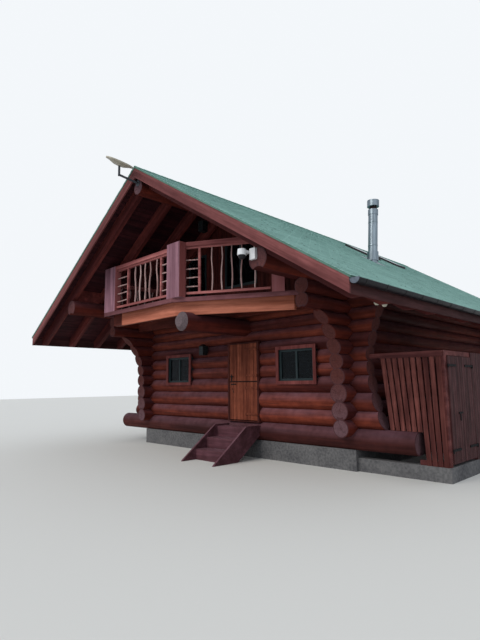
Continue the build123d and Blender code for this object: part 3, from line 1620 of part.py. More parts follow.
# Gates: a pair of narrow boarded leaves hung on the posts, opening outwards
gate_top = rail_low - gate_clear
gate_middle = (gate_y0 + gate_y1) / 2
gate_hinge_x = store_x + eye_radius + seat
gate_hinge_zs = (gate_bottom + 240, gate_top - 170)
gate_strap = 380.0
ledge_depth = rail_thickness
pin_offset = 25.0


def gate_leaf(hinge_y, y0, y1, inward):
    """One leaf: boards, two ledges behind them, and the moving halves of its hinges."""
    with BuildPart() as leaf:
        add(grooved_panel(y0, y1, gate_bottom, gate_top, board_width))
        for z in gate_hinge_zs:
            half = rail_height / 2
            add(block(frame_x1 - ledge_depth, frame_x1, y0, y1, z - half, z + half))
            ends = sorted((hinge_y, hinge_y + inward * gate_strap))
            strap_x = (gate_hinge_x - strap_thickness / 2, gate_hinge_x + strap_thickness / 2)
            add(strap(gate_hinge_x, hinge_y, z, *strap_x, *ends))
            inner = sorted((y0 if inward > 0 else y1, hinge_y + inward * gate_strap))
            add(block(store_x, strap_x[1], *inner, z - strap_height / 2, z + strap_height / 2))
    return leaf.part


left_hinge_y = gate_y0 - pin_offset
right_hinge_y = gate_y1 + pin_offset
with BuildPart() as gate_left:
    add(gate_leaf(left_hinge_y, gate_y0 + gate_clear, gate_middle - swing_gap / 2, 1))
    latch_y = gate_middle - 140.0
    add(block(store_x, store_x + 16, latch_y - 70, latch_y + 110, 1180, 1210))
    add(block(store_x, store_x + 16, latch_y - 14, latch_y + 14, 1050, 1180))
gate_left.part.label = "gate_left"
export_step(gate_left.part, "parts/gate_left.step")
solids = gate_leaf(right_hinge_y, gate_middle + swing_gap / 2, gate_y1 - gate_clear, -1)
with BuildPart() as gate_right:
    add(solids)
gate_right.part.label = "gate_right"
export_step(gate_right.part, "parts/gate_right.step")
gate_pins = []
for y, plate_x in ((left_hinge_y, frame_x1), (right_hinge_y, store_x)):
    for z in gate_hinge_zs:
        plate = (plate_x, gate_hinge_x, y - eye_radius / 2, y + eye_radius / 2)
        gate_pins.append(pintle(gate_hinge_x, y, z, plate))
with BuildPart() as store_frame:
    add(store_posts + store_rails + gate_pins)
store_frame.part.label = "store_frame"
export_step(store_frame.part, "parts/store_frame.step")
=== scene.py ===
# %% [markdown]
# A round-log cabin, dressed for its picture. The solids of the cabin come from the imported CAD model
# and stay as they are. This script gives them their finishes, and adds the small repeated things
# that are quicker to make as meshes: shingles, boards, peeled sticks, checks in the logs and
# ironwork. Every length is in metres, in the frame of the CAD model.

# %% Load the fixed frame
import math
import random

import bpy
from mathutils import Matrix, Vector
from mathutils.bvhtree import BVHTree


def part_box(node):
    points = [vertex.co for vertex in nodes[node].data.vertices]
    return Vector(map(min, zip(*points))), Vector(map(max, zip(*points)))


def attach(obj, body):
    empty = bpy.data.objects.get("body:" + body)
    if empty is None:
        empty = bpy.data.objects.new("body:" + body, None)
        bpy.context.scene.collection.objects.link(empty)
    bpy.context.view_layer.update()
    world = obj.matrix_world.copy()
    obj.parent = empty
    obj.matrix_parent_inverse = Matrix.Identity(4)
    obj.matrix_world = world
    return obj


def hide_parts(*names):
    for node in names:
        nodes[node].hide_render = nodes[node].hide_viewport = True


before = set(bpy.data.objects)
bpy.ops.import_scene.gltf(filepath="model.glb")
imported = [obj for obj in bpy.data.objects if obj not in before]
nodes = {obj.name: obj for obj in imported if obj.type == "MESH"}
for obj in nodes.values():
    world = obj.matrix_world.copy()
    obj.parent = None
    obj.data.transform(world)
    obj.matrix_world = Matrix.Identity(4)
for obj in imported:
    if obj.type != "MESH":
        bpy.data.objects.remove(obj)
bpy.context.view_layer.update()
random.seed(11)

# %% [markdown]
# The camera stands in front of the right corner, at about head height, and looks slightly up. It
# could be moved about until the picture looks right. Here its numbers were solved from the straight
# edges of the cabin instead, so a piece that is in its place in the frame falls on its place in the
# picture.

# %% Camera
EYE = (8.952, -11.936, 1.765)
HEADING, TILT_UP, ROLL = 45.07, 7.76, -0.60
camera_data = bpy.data.cameras.new("view")
camera_data.lens = 26.37
camera_data.sensor_width = 36.0
camera_data.clip_end = 200.0
camera = bpy.data.objects.new("view", camera_data)
bpy.context.scene.collection.objects.link(camera)
turn = Matrix.Rotation(math.radians(HEADING), 4, "Z")
tilt = Matrix.Rotation(math.radians(90 + TILT_UP), 4, "X")
roll = Matrix.Rotation(math.radians(ROLL), 4, "Z")
camera.matrix_world = Matrix.Translation(EYE) @ turn @ tilt @ roll
bpy.context.scene.camera = camera
bpy.context.scene.view_settings.view_transform = "Standard"
print("lens", camera_data.lens, "eye height", EYE[2])

# %% [markdown]
# Every finish here is a node material, and node trees are long to write out. A library of materials
# would be shorter, but the script has to stand alone, so these helpers keep the trees short instead.
# One adds a node and sets it, one does a sum, one mixes two colours by a mask, and one turns a range
# of values into a mask. A value is either a number or the socket of another node.

# %% Node helpers
def add_node(tree, kind, settings=None, inputs=None):
    node = tree.nodes.new(kind)
    for key, value in (settings or {}).items():
        setattr(node, key, value)
    for key, value in (inputs or {}).items():
        socket = node.inputs[key]
        if hasattr(value, "links"):
            tree.links.new(value, socket)
        else:
            socket.default_value = value
    return node


def maths(tree, operation, a, b=0.0, clamp=False):
    node = add_node(tree, "ShaderNodeMath", {"operation": operation, "use_clamp": clamp}, {0: a, 1: b})
    return node.outputs[0]


def mixed(tree, factor, a, b):
    node = add_node(tree, "ShaderNodeMix", {"data_type": "RGBA"}, {"Factor": factor})
    for index, value in ((6, a), (7, b)):
        if hasattr(value, "links"):
            tree.links.new(value, node.inputs[index])
        else:
            node.inputs[index].default_value = (*value, 1.0)
    return node.outputs[2]


def ramp(tree, value, low, high):
    node = add_node(tree, "ShaderNodeMapRange", {"clamp": True}, {"Value": value, "From Min": low, "From Max": high})
    return node.outputs["Result"]


print("node helpers", [helper.__name__ for helper in (add_node, maths, mixed, ramp)])

# %% [markdown]
# Most masks start from the same few things: a place on the object, one axis of it, a noise, and a
# bump at the end. The last two helpers start a node group, whose sockets Blender 4.5 makes through
# the group's interface, and place it in a material with the values of its own.

# %% Place, noise, bump and group helpers
def new_finish(name):
    """A node material, its tree and its shader."""
    material = bpy.data.materials.new(name)
    material.use_nodes = True
    tree = material.node_tree
    return material, tree, tree.nodes["Principled BSDF"]


def place_of(tree, output):
    return add_node(tree, "ShaderNodeTexCoord").outputs[output]


def split_place(tree, output):
    return add_node(tree, "ShaderNodeSeparateXYZ", None, {0: place_of(tree, output)}).outputs


def noise(tree, place, scale, detail, roughness=0.5):
    settings = {"Vector": place, "Scale": scale, "Detail": detail, "Roughness": roughness}
    return add_node(tree, "ShaderNodeTexNoise", None, settings).outputs["Fac"]


def add_bump(tree, shader, height, strength, distance):
    relief = add_node(tree, "ShaderNodeBump", None, {"Height": height, "Strength": strength, "Distance": distance})
    tree.links.new(relief.outputs["Normal"], shader.inputs["Normal"])


def shade(colour, share):
    return tuple(share * part for part in colour)


def new_group(name, inputs, outputs):
    group = bpy.data.node_groups.new(name, "ShaderNodeTree")
    for label, kind, value in inputs:
        socket = group.interface.new_socket(name=label, in_out="INPUT", socket_type=kind)
        if value is not None:
            socket.default_value = value
    for label, kind in outputs:
        group.interface.new_socket(name=label, in_out="OUTPUT", socket_type=kind)
    start = group.nodes.new("NodeGroupInput")
    end = group.nodes.new("NodeGroupOutput")
    return group, start, end


def place_group(tree, group, inputs):
    return add_node(tree, "ShaderNodeGroup", {"node_tree": group}, inputs).outputs


print("a dark tone of a mid grey", shade((0.5, 0.5, 0.5), 0.45))

# %% [markdown]
# A studio needs a floor that runs out past the picture. It is one large pale square, which rides
# on no body of the cabin. A curved backdrop would hide the horizon too, but it would also cut off
# the views from behind.

# %% Floor
FLOOR_REACH = 60.0


def make_floor(reach):
    mesh = bpy.data.meshes.new("floor")
    corners = [(-reach, -reach, 0), (reach, -reach, 0), (reach, reach, 0), (-reach, reach, 0)]
    mesh.from_pydata(corners, [], [(0, 1, 2, 3)])
    floor = bpy.data.objects.new("floor", mesh)
    bpy.context.scene.collection.objects.link(floor)
    material, _, shader = new_finish("floor")
    shader.inputs["Base Color"].default_value = (0.62, 0.62, 0.60, 1)
    shader.inputs["Roughness"].default_value = 0.95
    mesh.materials.append(material)
    return floor


print("stage", make_floor(FLOOR_REACH).name)

# %% [markdown]
# The sky lights the cabin evenly. A picture of a real sky would colour the logs, so it is one plain
# tone. Rays from the camera, and those that pass through glass, see a paler tone than the one that
# gives the light, so the background stays nearly white while the light stays plain.

# %% Sky
SKY_STRENGTH = 0.72
SKY_TONE, SHOWN_TONE = (0.86, 0.92, 1.0, 1), (0.90, 0.93, 0.96, 1)


def make_sky(strength):
    world = bpy.data.worlds.new("sky")
    bpy.context.scene.world = world
    world.use_nodes = True
    tree = world.node_tree
    tree.nodes.clear()
    light = add_node(tree, "ShaderNodeBackground", None, {"Color": SKY_TONE, "Strength": strength})
    shown = add_node(tree, "ShaderNodeBackground", None, {"Color": SHOWN_TONE, "Strength": 1.0})
    path = add_node(tree, "ShaderNodeLightPath").outputs
    seen = maths(tree, "MAXIMUM", path["Is Camera Ray"], path["Is Transmission Ray"])
    mix = add_node(tree, "ShaderNodeMixShader", None, {0: seen, 1: light.outputs[0], 2: shown.outputs[0]})
    add_node(tree, "ShaderNodeOutputWorld", None, {0: mix.outputs[0]})


make_sky(SKY_STRENGTH)
print("sky strength", SKY_STRENGTH)

# %% [markdown]
# Round logs show their form when light comes from one side and fades slowly across them. Area
# lights near the cabin would fall off along its length, so two suns are used: a large soft one from
# the front, and a weak one from the right that keeps the store from going flat.

# %% Lamps
def make_sun(name, strength, colour, angle, direction):
    lamp = bpy.data.lights.new(name, "SUN")
    lamp.energy = strength
    lamp.color = colour
    lamp.angle = math.radians(angle)
    sun = bpy.data.objects.new(name, lamp)
    sun.rotation_euler = Vector(direction).to_track_quat("-Z", "Y").to_euler()
    bpy.context.scene.collection.objects.link(sun)
    print(name, strength)


make_sun("soft_sun", 1.7, (1.0, 0.96, 0.90), 35.0, (0.12, 0.80, -0.70))
make_sun("side_fill", 0.35, (0.95, 0.97, 1.0), 60.0, (-0.8, 0.30, -0.45))

# %% [markdown]
# Stained wood shows fibres that run along each piece, slow changes of tone from one stick to the
# next, and a paler mauve upper side: partly bleached and dusty where rain and sun reach it, and
# partly a painted highlight where the sky lights the tops. Painted masks would fit one view only.
# One group makes the masks for all the wood instead: the fibres are noise stretched along the
# grain, and the bleaching, with its painted highlight, follows how far the surface faces up.

# %% Group: wood fibres and weathering
def make_wood_group():
    group, start, end = new_group(
        "wood_fibres",
        [
            ("Place", "NodeSocketVector", None),
            ("Stretch", "NodeSocketVector", (1.0, 1.0, 1.0)),
            ("Fineness", "NodeSocketFloat", 1.0),
        ],
        [(label, "NodeSocketFloat") for label in ("Fibres", "Tone", "Bleach And Sky Sheen", "Mottle", "Height")],
    )
    stretched = add_node(
        group,
        "ShaderNodeVectorMath",
        {"operation": "MULTIPLY"},
        {0: start.outputs["Place"], 1: start.outputs["Stretch"]},
    ).outputs[0]
    fineness = start.outputs["Fineness"]
    fine = noise(group, stretched, maths(group, "MULTIPLY", fineness, 9.0), 6.0, 0.62)
    coarse = noise(group, stretched, maths(group, "MULTIPLY", fineness, 2.2), 2.0)
    place = place_of(group, "Object")
    # Faces that look up are greyed: partly weathering, partly a painted highlight of the sky's light on the tops.
    upward = ramp(group, split_place(group, "Normal")["Z"], -0.10, 0.90)
    patches = ramp(group, noise(group, place, 1.3, 3.0), 0.25, 0.75)
    patches = maths(group, "ADD", maths(group, "MULTIPLY", patches, 0.55), 0.45)
    height = maths(group, "ADD", maths(group, "MULTIPLY", fine, 0.7), maths(group, "MULTIPLY", coarse, 0.5))
    for label, value in (
        ("Fibres", ramp(group, fine, 0.36, 0.64)),
        ("Tone", ramp(group, coarse, 0.34, 0.66)),
        ("Bleach And Sky Sheen", maths(group, "MULTIPLY", upward, patches, clamp=True)),
        ("Mottle", ramp(group, noise(group, place, 5.5, 4.0), 0.38, 0.68)),
        ("Height", height),
    ):
        group.links.new(value, end.inputs[label])
    return group


wood_group = make_wood_group()
print("wood group sockets", [item.name for item in wood_group.interface.items_tree])

# %% [markdown]
# The two slopes of the roof meet at the apex, and both finishes and pieces need their lines. They
# could be measured from the solids, but the same few numbers as in the CAD model are plainer.

# %% Lines of the roof
APEX = 6.769
EAVE_HEIGHT = 3.236
HALF_WIDTH = 5.56
ANGLE = math.atan((APEX - EAVE_HEIGHT) / HALF_WIDTH)
COS, SIN = math.cos(ANGLE), math.sin(ANGLE)
SLOPE_LENGTH = HALF_WIDTH / COS
print("roof angle", round(math.degrees(ANGLE), 1), "slope", round(SLOPE_LENGTH, 3))

# %% [markdown]
# Fibres run along a stick, so the noise that draws them is squeezed along its length. Logs lie
# along X or Y, posts stand along Z, and the boards of the slanted balcony are level but follow
# neither axis, so they are squeezed in both. Rafters and barge boards run down the slope, and for
# them the place is first turned with the roof. A map for each stick would do the same with far more
# work.

# %% Grain directions
GRAIN_STRETCH = {
    "X": (0.10, 1.6, 1.6),
    "Y": (1.6, 0.10, 1.6),
    "Z": (1.6, 1.6, 0.10),
    "level": (0.10, 0.10, 1.6),
}


def slope_place(tree):
    """Object place turned so that X runs down either roof slope."""
    x, y, z = split_place(tree, "Object")[:3]
    out = maths(tree, "ABSOLUTE", x)
    along = maths(tree, "SUBTRACT", maths(tree, "MULTIPLY", out, COS), maths(tree, "MULTIPLY", z, SIN))
    up = maths(tree, "ADD", maths(tree, "MULTIPLY", out, SIN), maths(tree, "MULTIPLY", z, COS))
    return add_node(tree, "ShaderNodeCombineXYZ", None, {0: along, 1: y, 2: up}).outputs[0]


print("grain directions", list(GRAIN_STRETCH))

# %% [markdown]
# Four marks lie over the stain on some pieces: the dusty end where a log is cut across, the dark
# joint between two boards, the gap between the leaves of the stable door, widened with painted
# shadow, and ironwork that the CAD model carries on the same node as the wood. Separate meshes could
# be laid over each. A mask from the place or the direction of the face is enough, and it can't come
# loose when a leaf swings. Two of the masks are groups that several woods share, and here they are.

# %% Groups: cut ends and board joints
CUT_SOFTNESS = 0.07
DUST_SCALE = 38.0
JOINT_SHARE = 0.75


def make_cut_end_group():
    """Where a face looks along the grain, and the dust on it."""
    group, start, end = new_group(
        "cut_end",
        [("Along", "NodeSocketFloat", 0.0), ("Cut From", "NodeSocketFloat", 0.86)],
        [("Cut", "NodeSocketFloat"), ("Dust", "NodeSocketFloat")],
    )
    cut_from = start.outputs["Cut From"]
    facing = maths(group, "ABSOLUTE", start.outputs["Along"])
    cut = ramp(group, facing, cut_from, maths(group, "ADD", cut_from, CUT_SOFTNESS))
    dust = ramp(group, noise(group, place_of(group, "Object"), DUST_SCALE, 4.0), 0.3, 0.7)
    group.links.new(cut, end.inputs["Cut"])
    group.links.new(dust, end.inputs["Dust"])
    return group


def make_joint_group():
    """A line at an even pitch, where one board meets the next."""
    group, start, end = new_group(
        "board_joints",
        [("Across", "NodeSocketFloat", 0.0), ("Pitch", "NodeSocketFloat", 0.1), ("Width", "NodeSocketFloat", 0.01)],
        [("Line", "NodeSocketFloat")],
    )
    pitch = start.outputs["Pitch"]
    step = maths(group, "FRACT", maths(group, "DIVIDE", start.outputs["Across"], pitch))
    line = maths(group, "LESS_THAN", step, maths(group, "DIVIDE", start.outputs["Width"], pitch))
    group.links.new(maths(group, "MULTIPLY", line, JOINT_SHARE), end.inputs["Line"])
    return group


cut_end_group, joint_group = make_cut_end_group(), make_joint_group()
print("groups", [group.name for group in bpy.data.node_groups])

# %% [markdown]
# Ironwork is found by planes: all that stands proud of a board, on one side of it, is iron. A
# painted map could follow every edge. Planes are enough here, because iron and wood never share
# one. The third group is such a plane, and a material may multiply two of them.

# %% Group: one side of a plane
def make_plane_group():
    group, start, end = new_group(
        "past_plane",
        [("Across", "NodeSocketFloat", 0.0), ("Limit", "NodeSocketFloat", 0.0), ("Sign", "NodeSocketFloat", 1.0)],
        [("Past", "NodeSocketFloat")],
    )
    sign = start.outputs["Sign"]
    across = maths(group, "MULTIPLY", start.outputs["Across"], sign)
    past = maths(group, "GREATER_THAN", across, maths(group, "MULTIPLY", sign, start.outputs["Limit"]))
    group.links.new(past, end.inputs["Past"])
    return group


plane_group = make_plane_group()
print("plane group sockets", [item.name for item in plane_group.interface.items_tree])

# %% [markdown]
# A mark is laid on by mixing its colour over the stain, with the mask as the share. The marks could
# be one long list of nodes in every wood, but most woods need only one or two of them, so each mark
# is a short function that takes a colour and gives back the marked one.

# %% Marks over the stain
IRON_BLACK = (0.008, 0.008, 0.009)
GAP_SHADOW_BLACK = (0.012, 0.008, 0.008)
GAP_HALF_WIDTH, GAP_SHARE = 0.016, 0.9


def with_cut_ends(tree, colour, grain, end_colour, cut_from):
    """A dusty end on the faces that look along the grain."""
    masks = place_group(tree, cut_end_group, {"Along": split_place(tree, "Normal")[grain], "Cut From": cut_from})
    return mixed(tree, masks["Cut"], colour, mixed(tree, masks["Dust"], end_colour, shade(end_colour, 0.6)))


def with_joints(tree, colour, axis, pitch, width, line_colour):
    """The dark joints between boards that stand side by side along an axis."""
    inputs = {"Across": split_place(tree, "Object")[axis], "Pitch": pitch, "Width": width}
    return mixed(tree, place_group(tree, joint_group, inputs)["Line"], colour, line_colour)


def with_gap_shadow(tree, colour, height):
    """A dark band at the gap between the two leaves of the door, wider than the gap: painted shadow."""
    offset = maths(tree, "ABSOLUTE", maths(tree, "SUBTRACT", split_place(tree, "Object")["Z"], height))
    line = maths(tree, "LESS_THAN", offset, GAP_HALF_WIDTH)
    return mixed(tree, maths(tree, "MULTIPLY", line, GAP_SHARE), colour, GAP_SHADOW_BLACK)


def with_iron(tree, colour, limits):
    """Black iron where the surface lies past every limit, each an axis, a place and a side."""
    past = None
    for axis, limit, sign in limits:
        inputs = {"Across": split_place(tree, "Object")[axis], "Limit": limit, "Sign": sign}
        side = place_group(tree, plane_group, inputs)["Past"]
        past = side if past is None else maths(tree, "MULTIPLY", past, side)
    return colour if past is None else mixed(tree, past, colour, IRON_BLACK)


print("marks", [mark.__name__ for mark in (with_cut_ends, with_joints, with_gap_shadow, with_iron)])

# %% [markdown]
# All the wood is softwood under a thick red stain. It differs in how dark the stain is, how much
# it is greyed to mauve on top, by the weather and by a painted highlight, and how fine its grain
# is. One function makes each finish from those numbers, so the pieces look like one batch of
# timber. Separate materials for each would soon drift apart.

# %% Wood finish
MAUVE = (0.195, 0.098, 0.124)
STAIN_GLOSS, STAIN_ROUGHNESS, FIBRE_ROUGHNESS = 0.12, 0.62, 0.16
FIBRE_SHARE, SIDE_SHADE_SHARE = 0.50, 0.8
GRAIN_RELIEF = 0.02


def wood_finish(
    name, grain, dark, light, bleach_and_sheen, end_colour=None, bleached_and_sheen_tone=MAUVE, fineness=1.0, bump=0.45, mottle=0.38,
    cut_from=0.86, sloping=False, sheltered_and_shaded_side=None, joints=None, gap_at=None, iron=(),
):
    """A stained wood. joints is an axis, a pitch and a width; iron is a list of axis, place and side."""
    material, tree, shader = new_finish(name)
    place = slope_place(tree) if sloping else place_of(tree, "Object")
    inputs = {"Place": place, "Stretch": GRAIN_STRETCH[grain], "Fineness": fineness}
    masks = place_group(tree, wood_group, inputs)
    colour = mixed(tree, masks["Tone"], dark, light)
    # The mask for the tops mixes in the mauve: partly bleaching, partly a painted highlight.
    for mask, amount, over in (
        ("Fibres", FIBRE_SHARE, shade(dark, 0.45)),
        ("Bleach And Sky Sheen", bleach_and_sheen, bleached_and_sheen_tone),
        ("Mottle", mottle, shade(dark, 0.6)),
    ):
        colour = mixed(tree, maths(tree, "MULTIPLY", masks[mask], amount), colour, over)
    # Faces that look right take a redder, darker tone: partly sheltered wood, partly painted shade.
    if sheltered_and_shaded_side:
        turned = ramp(tree, split_place(tree, "Normal")["X"], 0.30, 0.55)
        colour = mixed(tree, maths(tree, "MULTIPLY", turned, SIDE_SHADE_SHARE), colour, sheltered_and_shaded_side)
    if end_colour:
        colour = with_cut_ends(tree, colour, grain, end_colour, cut_from)
    if joints:
        colour = with_joints(tree, colour, *joints, shade(dark, 0.3))
    if gap_at:
        colour = with_gap_shadow(tree, colour, gap_at)
    tree.links.new(with_iron(tree, colour, iron), shader.inputs["Base Color"])
    roughness = maths(tree, "ADD", maths(tree, "MULTIPLY", masks["Fibres"], FIBRE_ROUGHNESS), STAIN_ROUGHNESS)
    tree.links.new(roughness, shader.inputs["Roughness"])
    add_bump(tree, shader, masks["Height"], bump, GRAIN_RELIEF)
    shader.inputs["Specular IOR Level"].default_value = STAIN_GLOSS
    return material


print("wood finish greys towards", MAUVE)

# %% [markdown]
# The logs carry the reddest stain, greyed on top by the weather and by a painted highlight. The side
# walls stand in the shade of the roof, and their darker red is painted shade. The sill logs near the
# ground are the dullest, dusty and darker with painted shade, and the beams under the balcony end in
# pale cut faces. The same stain all over would lose these differences.

# %% Logs and beams
RED_DARK = (0.058, 0.0100, 0.0095)
RED_LIGHT = (0.230, 0.046, 0.024)
CUT_END = (0.088, 0.036, 0.040)
logs_x = wood_finish("logs_along_x", "X", RED_DARK, RED_LIGHT, 0.85, CUT_END, bump=0.6)
# The side walls' light tone is darker than the front's: painted shade of the roof.
logs_y = wood_finish("logs_along_y", "Y", RED_DARK, (0.150, 0.024, 0.013), 0.45, CUT_END, bump=0.6)
# The sill logs are dusty and stand in shade; their dark, dull tone paints that shade as well as the dust.
sill_wood = wood_finish(
    "sill_logs", "X", (0.040, 0.010, 0.010), (0.125, 0.030, 0.024), 0.9, CUT_END, (0.150, 0.074, 0.096), bump=0.6
)
beam_wood = wood_finish(
    "centre_beam", "Y", RED_DARK, (0.160, 0.028, 0.018), 0.5, (0.150, 0.112, 0.122), bump=0.6, cut_from=0.42
)
timber_x = wood_finish(
    "timber_along_x", "X", (0.050, 0.010, 0.008), (0.170, 0.034, 0.021), 0.4, (0.170, 0.110, 0.115)
)
print("log finishes", [wood.name for wood in (logs_x, logs_y, sill_wood, beam_wood, timber_x)])

# %% [markdown]
# Under the roof the boards are dark and hardly bleached, and the rafters stand out a little against
# them. The barge boards at the front edge meet the weather and are paler. Board joints are masks,
# because at this distance a modelled groove would show no better.

# %% Roof, gables and floors
roof_timber = wood_finish("roof_timber", "X", (0.070, 0.014, 0.014), (0.230, 0.050, 0.042), 0.2, sloping=True)
roof_board = wood_finish(
    "roof_boards", "Y", (0.026, 0.006, 0.009), (0.070, 0.015, 0.018), 0.1, fineness=1.5, joints=("X", 0.115, 0.010)
)
barge_wood = wood_finish(
    "barge_boards",
    "X",
    (0.125, 0.036, 0.036),
    (0.265, 0.088, 0.086),
    0.3,
    fineness=1.5,
    mottle=0.25,
    sloping=True,
)
fascia_wood = wood_finish("fascia_boards", "Y", (0.040, 0.013, 0.013), (0.100, 0.034, 0.034), 0.3, fineness=1.5)
gable_wood = wood_finish("gable_boards", "Z", (0.050, 0.009, 0.008), (0.150, 0.030, 0.022), 0.1, fineness=1.5)
floor_wood = wood_finish(
    "floor_boards", "Y", (0.070, 0.020, 0.014), (0.170, 0.060, 0.040), 0.3, fineness=1.5, joints=("X", 0.12, 0.010)
)
print("roof finishes", [wood.name for wood in (roof_timber, roof_board, barge_wood, fascia_wood)])

# %% [markdown]
# The balcony has the palest wood: planed rim boards that glow orange, wide slab posts greyed to
# mauve, with a redder, darker tone on the faces that look right, partly wood kept from the weather
# and partly painted shade, and sticks peeled to bare wood. A mask on the direction of the face
# tells the two sides of a post apart.

# %% Balcony
rim_wood = wood_finish(
    "rim_boards",
    "level",
    (0.330, 0.096, 0.056),
    (0.600, 0.205, 0.130),
    0.1,
    fineness=1.6,
    bump=0.15,
    mottle=0.06,
)
trim_mauve = wood_finish("trim_mauve", "level", (0.120, 0.042, 0.048), (0.225, 0.086, 0.096), 0.4, fineness=1.5)
post_mauve = wood_finish(
    "post_mauve",
    "Z",
    (0.200, 0.092, 0.122),
    (0.370, 0.192, 0.242),
    0.4,
    fineness=1.6,
    mottle=0.16,
    sheltered_and_shaded_side=(0.290, 0.080, 0.070),
)
rail_red = wood_finish(
    "rail_red", "level", (0.230, 0.066, 0.066), (0.520, 0.190, 0.180), 0.4, fineness=1.5, mottle=0.2
)
stick_pale = wood_finish("peeled_sticks", "Z", (0.360, 0.210, 0.200), (0.700, 0.500, 0.480), 0.1, fineness=3.0)
print("balcony finishes", [wood.name for wood in (rim_wood, trim_mauve, post_mauve, rail_red, stick_pale)])

# %% [markdown]
# Doors, trims and steps take the same stain in finer grain. The latch stands proud of the boards,
# so what lies in front of the leaf on the latch's side is iron, while the hinge straps on the other
# side are stained like the door. The height of the gap between the two leaves could be typed in. It
# is read from the CAD boxes instead, so it follows them.

# %% Door, windows and steps
DOOR_GAP = 0.5 * (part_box("door_lower")[1][2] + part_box("door_upper")[0][2])
door_wood = wood_finish(
    "door_boards",
    "Z",
    (0.130, 0.028, 0.014),
    (0.330, 0.090, 0.046),
    0.2,
    fineness=2.0,
    joints=("X", 0.118, 0.007),
    gap_at=DOOR_GAP,
    iron=[("Y", -3.5082, -1), ("X", 0.55, -1)],
)
jamb_wood = wood_finish(
    "door_jamb",
    "Z",
    (0.040, 0.008, 0.006),
    (0.100, 0.022, 0.016),
    0.2,
    fineness=2.0,
    iron=[("Y", -3.5162, -1), ("X", 0.55, -1)],
)
window_trim = wood_finish("window_trim", "Z", (0.120, 0.026, 0.024), (0.240, 0.070, 0.064), 0.25, fineness=1.6)
step_wood = wood_finish("step_boards", "X", (0.060, 0.020, 0.024), (0.135, 0.052, 0.068), 0.8, fineness=1.5)
print("door splits at", round(DOOR_GAP, 4))

# %% [markdown]
# The side store is fenced with slats and boards of the same red, dulled by use. Its hinges and
# latch stand proud of the gates on the right-hand face. Each could have a mask of its own, but one
# plane picks them all out, for boards and posts alike.

# %% Side store
STORE_IRON = [("X", 5.5607, 1)]
slat_wood = wood_finish("store_slats", "Z", (0.078, 0.020, 0.017), (0.240, 0.076, 0.062), 0.3, fineness=2.4)
side_wood = wood_finish(
    "store_boards",
    "Z",
    (0.036, 0.012, 0.012),
    (0.115, 0.042, 0.043),
    0.3,
    fineness=3.0,
    joints=("Y", 0.1, 0.012),
    iron=STORE_IRON,
)
store_timber = wood_finish(
    "store_timber", "X", (0.080, 0.020, 0.019), (0.200, 0.062, 0.056), 0.5, fineness=1.8, iron=STORE_IRON
)
print("store finishes", [wood.name for wood in (slat_wood, side_wood, store_timber)])

# %% [markdown]
# Concrete, paint, steel and plastic look alike in one way: fine grit under larger clouds, between
# two close tones. One colour would look like wax. The two noises are a group, and each material
# sets how fine they are.

# %% Group: grit and clouds
def make_grit_group():
    group, start, end = new_group(
        "grit_and_clouds",
        [
            ("Place", "NodeSocketVector", None),
            ("Grit Scale", "NodeSocketFloat", 30.0),
            ("Cloud Scale", "NodeSocketFloat", 3.0),
        ],
        [(label, "NodeSocketFloat") for label in ("Spots", "Shade", "Height")],
    )
    place = start.outputs["Place"]
    grit = noise(group, place, start.outputs["Grit Scale"], 5.0)
    clouds = noise(group, place, start.outputs["Cloud Scale"], 3.0)
    spots = ramp(group, grit, 0.38, 0.66)
    both = maths(group, "ADD", spots, ramp(group, clouds, 0.35, 0.70))
    group.links.new(spots, end.inputs["Spots"])
    group.links.new(maths(group, "MULTIPLY", both, 0.5), end.inputs["Shade"])
    group.links.new(grit, end.inputs["Height"])
    return group


grit_group = make_grit_group()
print("grit group sockets", [item.name for item in grit_group.interface.items_tree])

# %% [markdown]
# The plain materials differ in tone, gloss and how coarse their grit is. The flue is the one bare
# metal: its grit is squeezed upright, which reads as brushed steel. A pattern map could do this
# too, but would need a map on every solid.

# %% Mineral, metal and plastic finishes
SPOT_ROUGHNESS, SPOT_RELIEF = 0.12, 0.01


def speckled_finish(name, base, dark, scale, cloud_scale, rough, bump, metallic=0.0, stretch=(1, 1, 1), gloss=0.2):
    material, tree, shader = new_finish(name)
    shaped = add_node(
        tree, "ShaderNodeVectorMath", {"operation": "MULTIPLY"}, {0: place_of(tree, "Object"), 1: stretch}
    ).outputs[0]
    masks = place_group(tree, grit_group, {"Place": shaped, "Grit Scale": scale, "Cloud Scale": cloud_scale})
    tree.links.new(mixed(tree, masks["Shade"], base, dark), shader.inputs["Base Color"])
    spotted = maths(tree, "MULTIPLY", masks["Spots"], SPOT_ROUGHNESS)
    roughness = maths(tree, "ADD", spotted, rough - SPOT_ROUGHNESS / 2)
    tree.links.new(roughness, shader.inputs["Roughness"])
    add_bump(tree, shader, masks["Height"], bump, SPOT_RELIEF)
    shader.inputs["Metallic"].default_value = metallic
    shader.inputs["Specular IOR Level"].default_value = gloss
    return material


shingle_green = speckled_finish("shingle_grit", (0.120, 0.230, 0.190), (0.060, 0.120, 0.095), 55.0, 3.5, 0.9, 0.5)
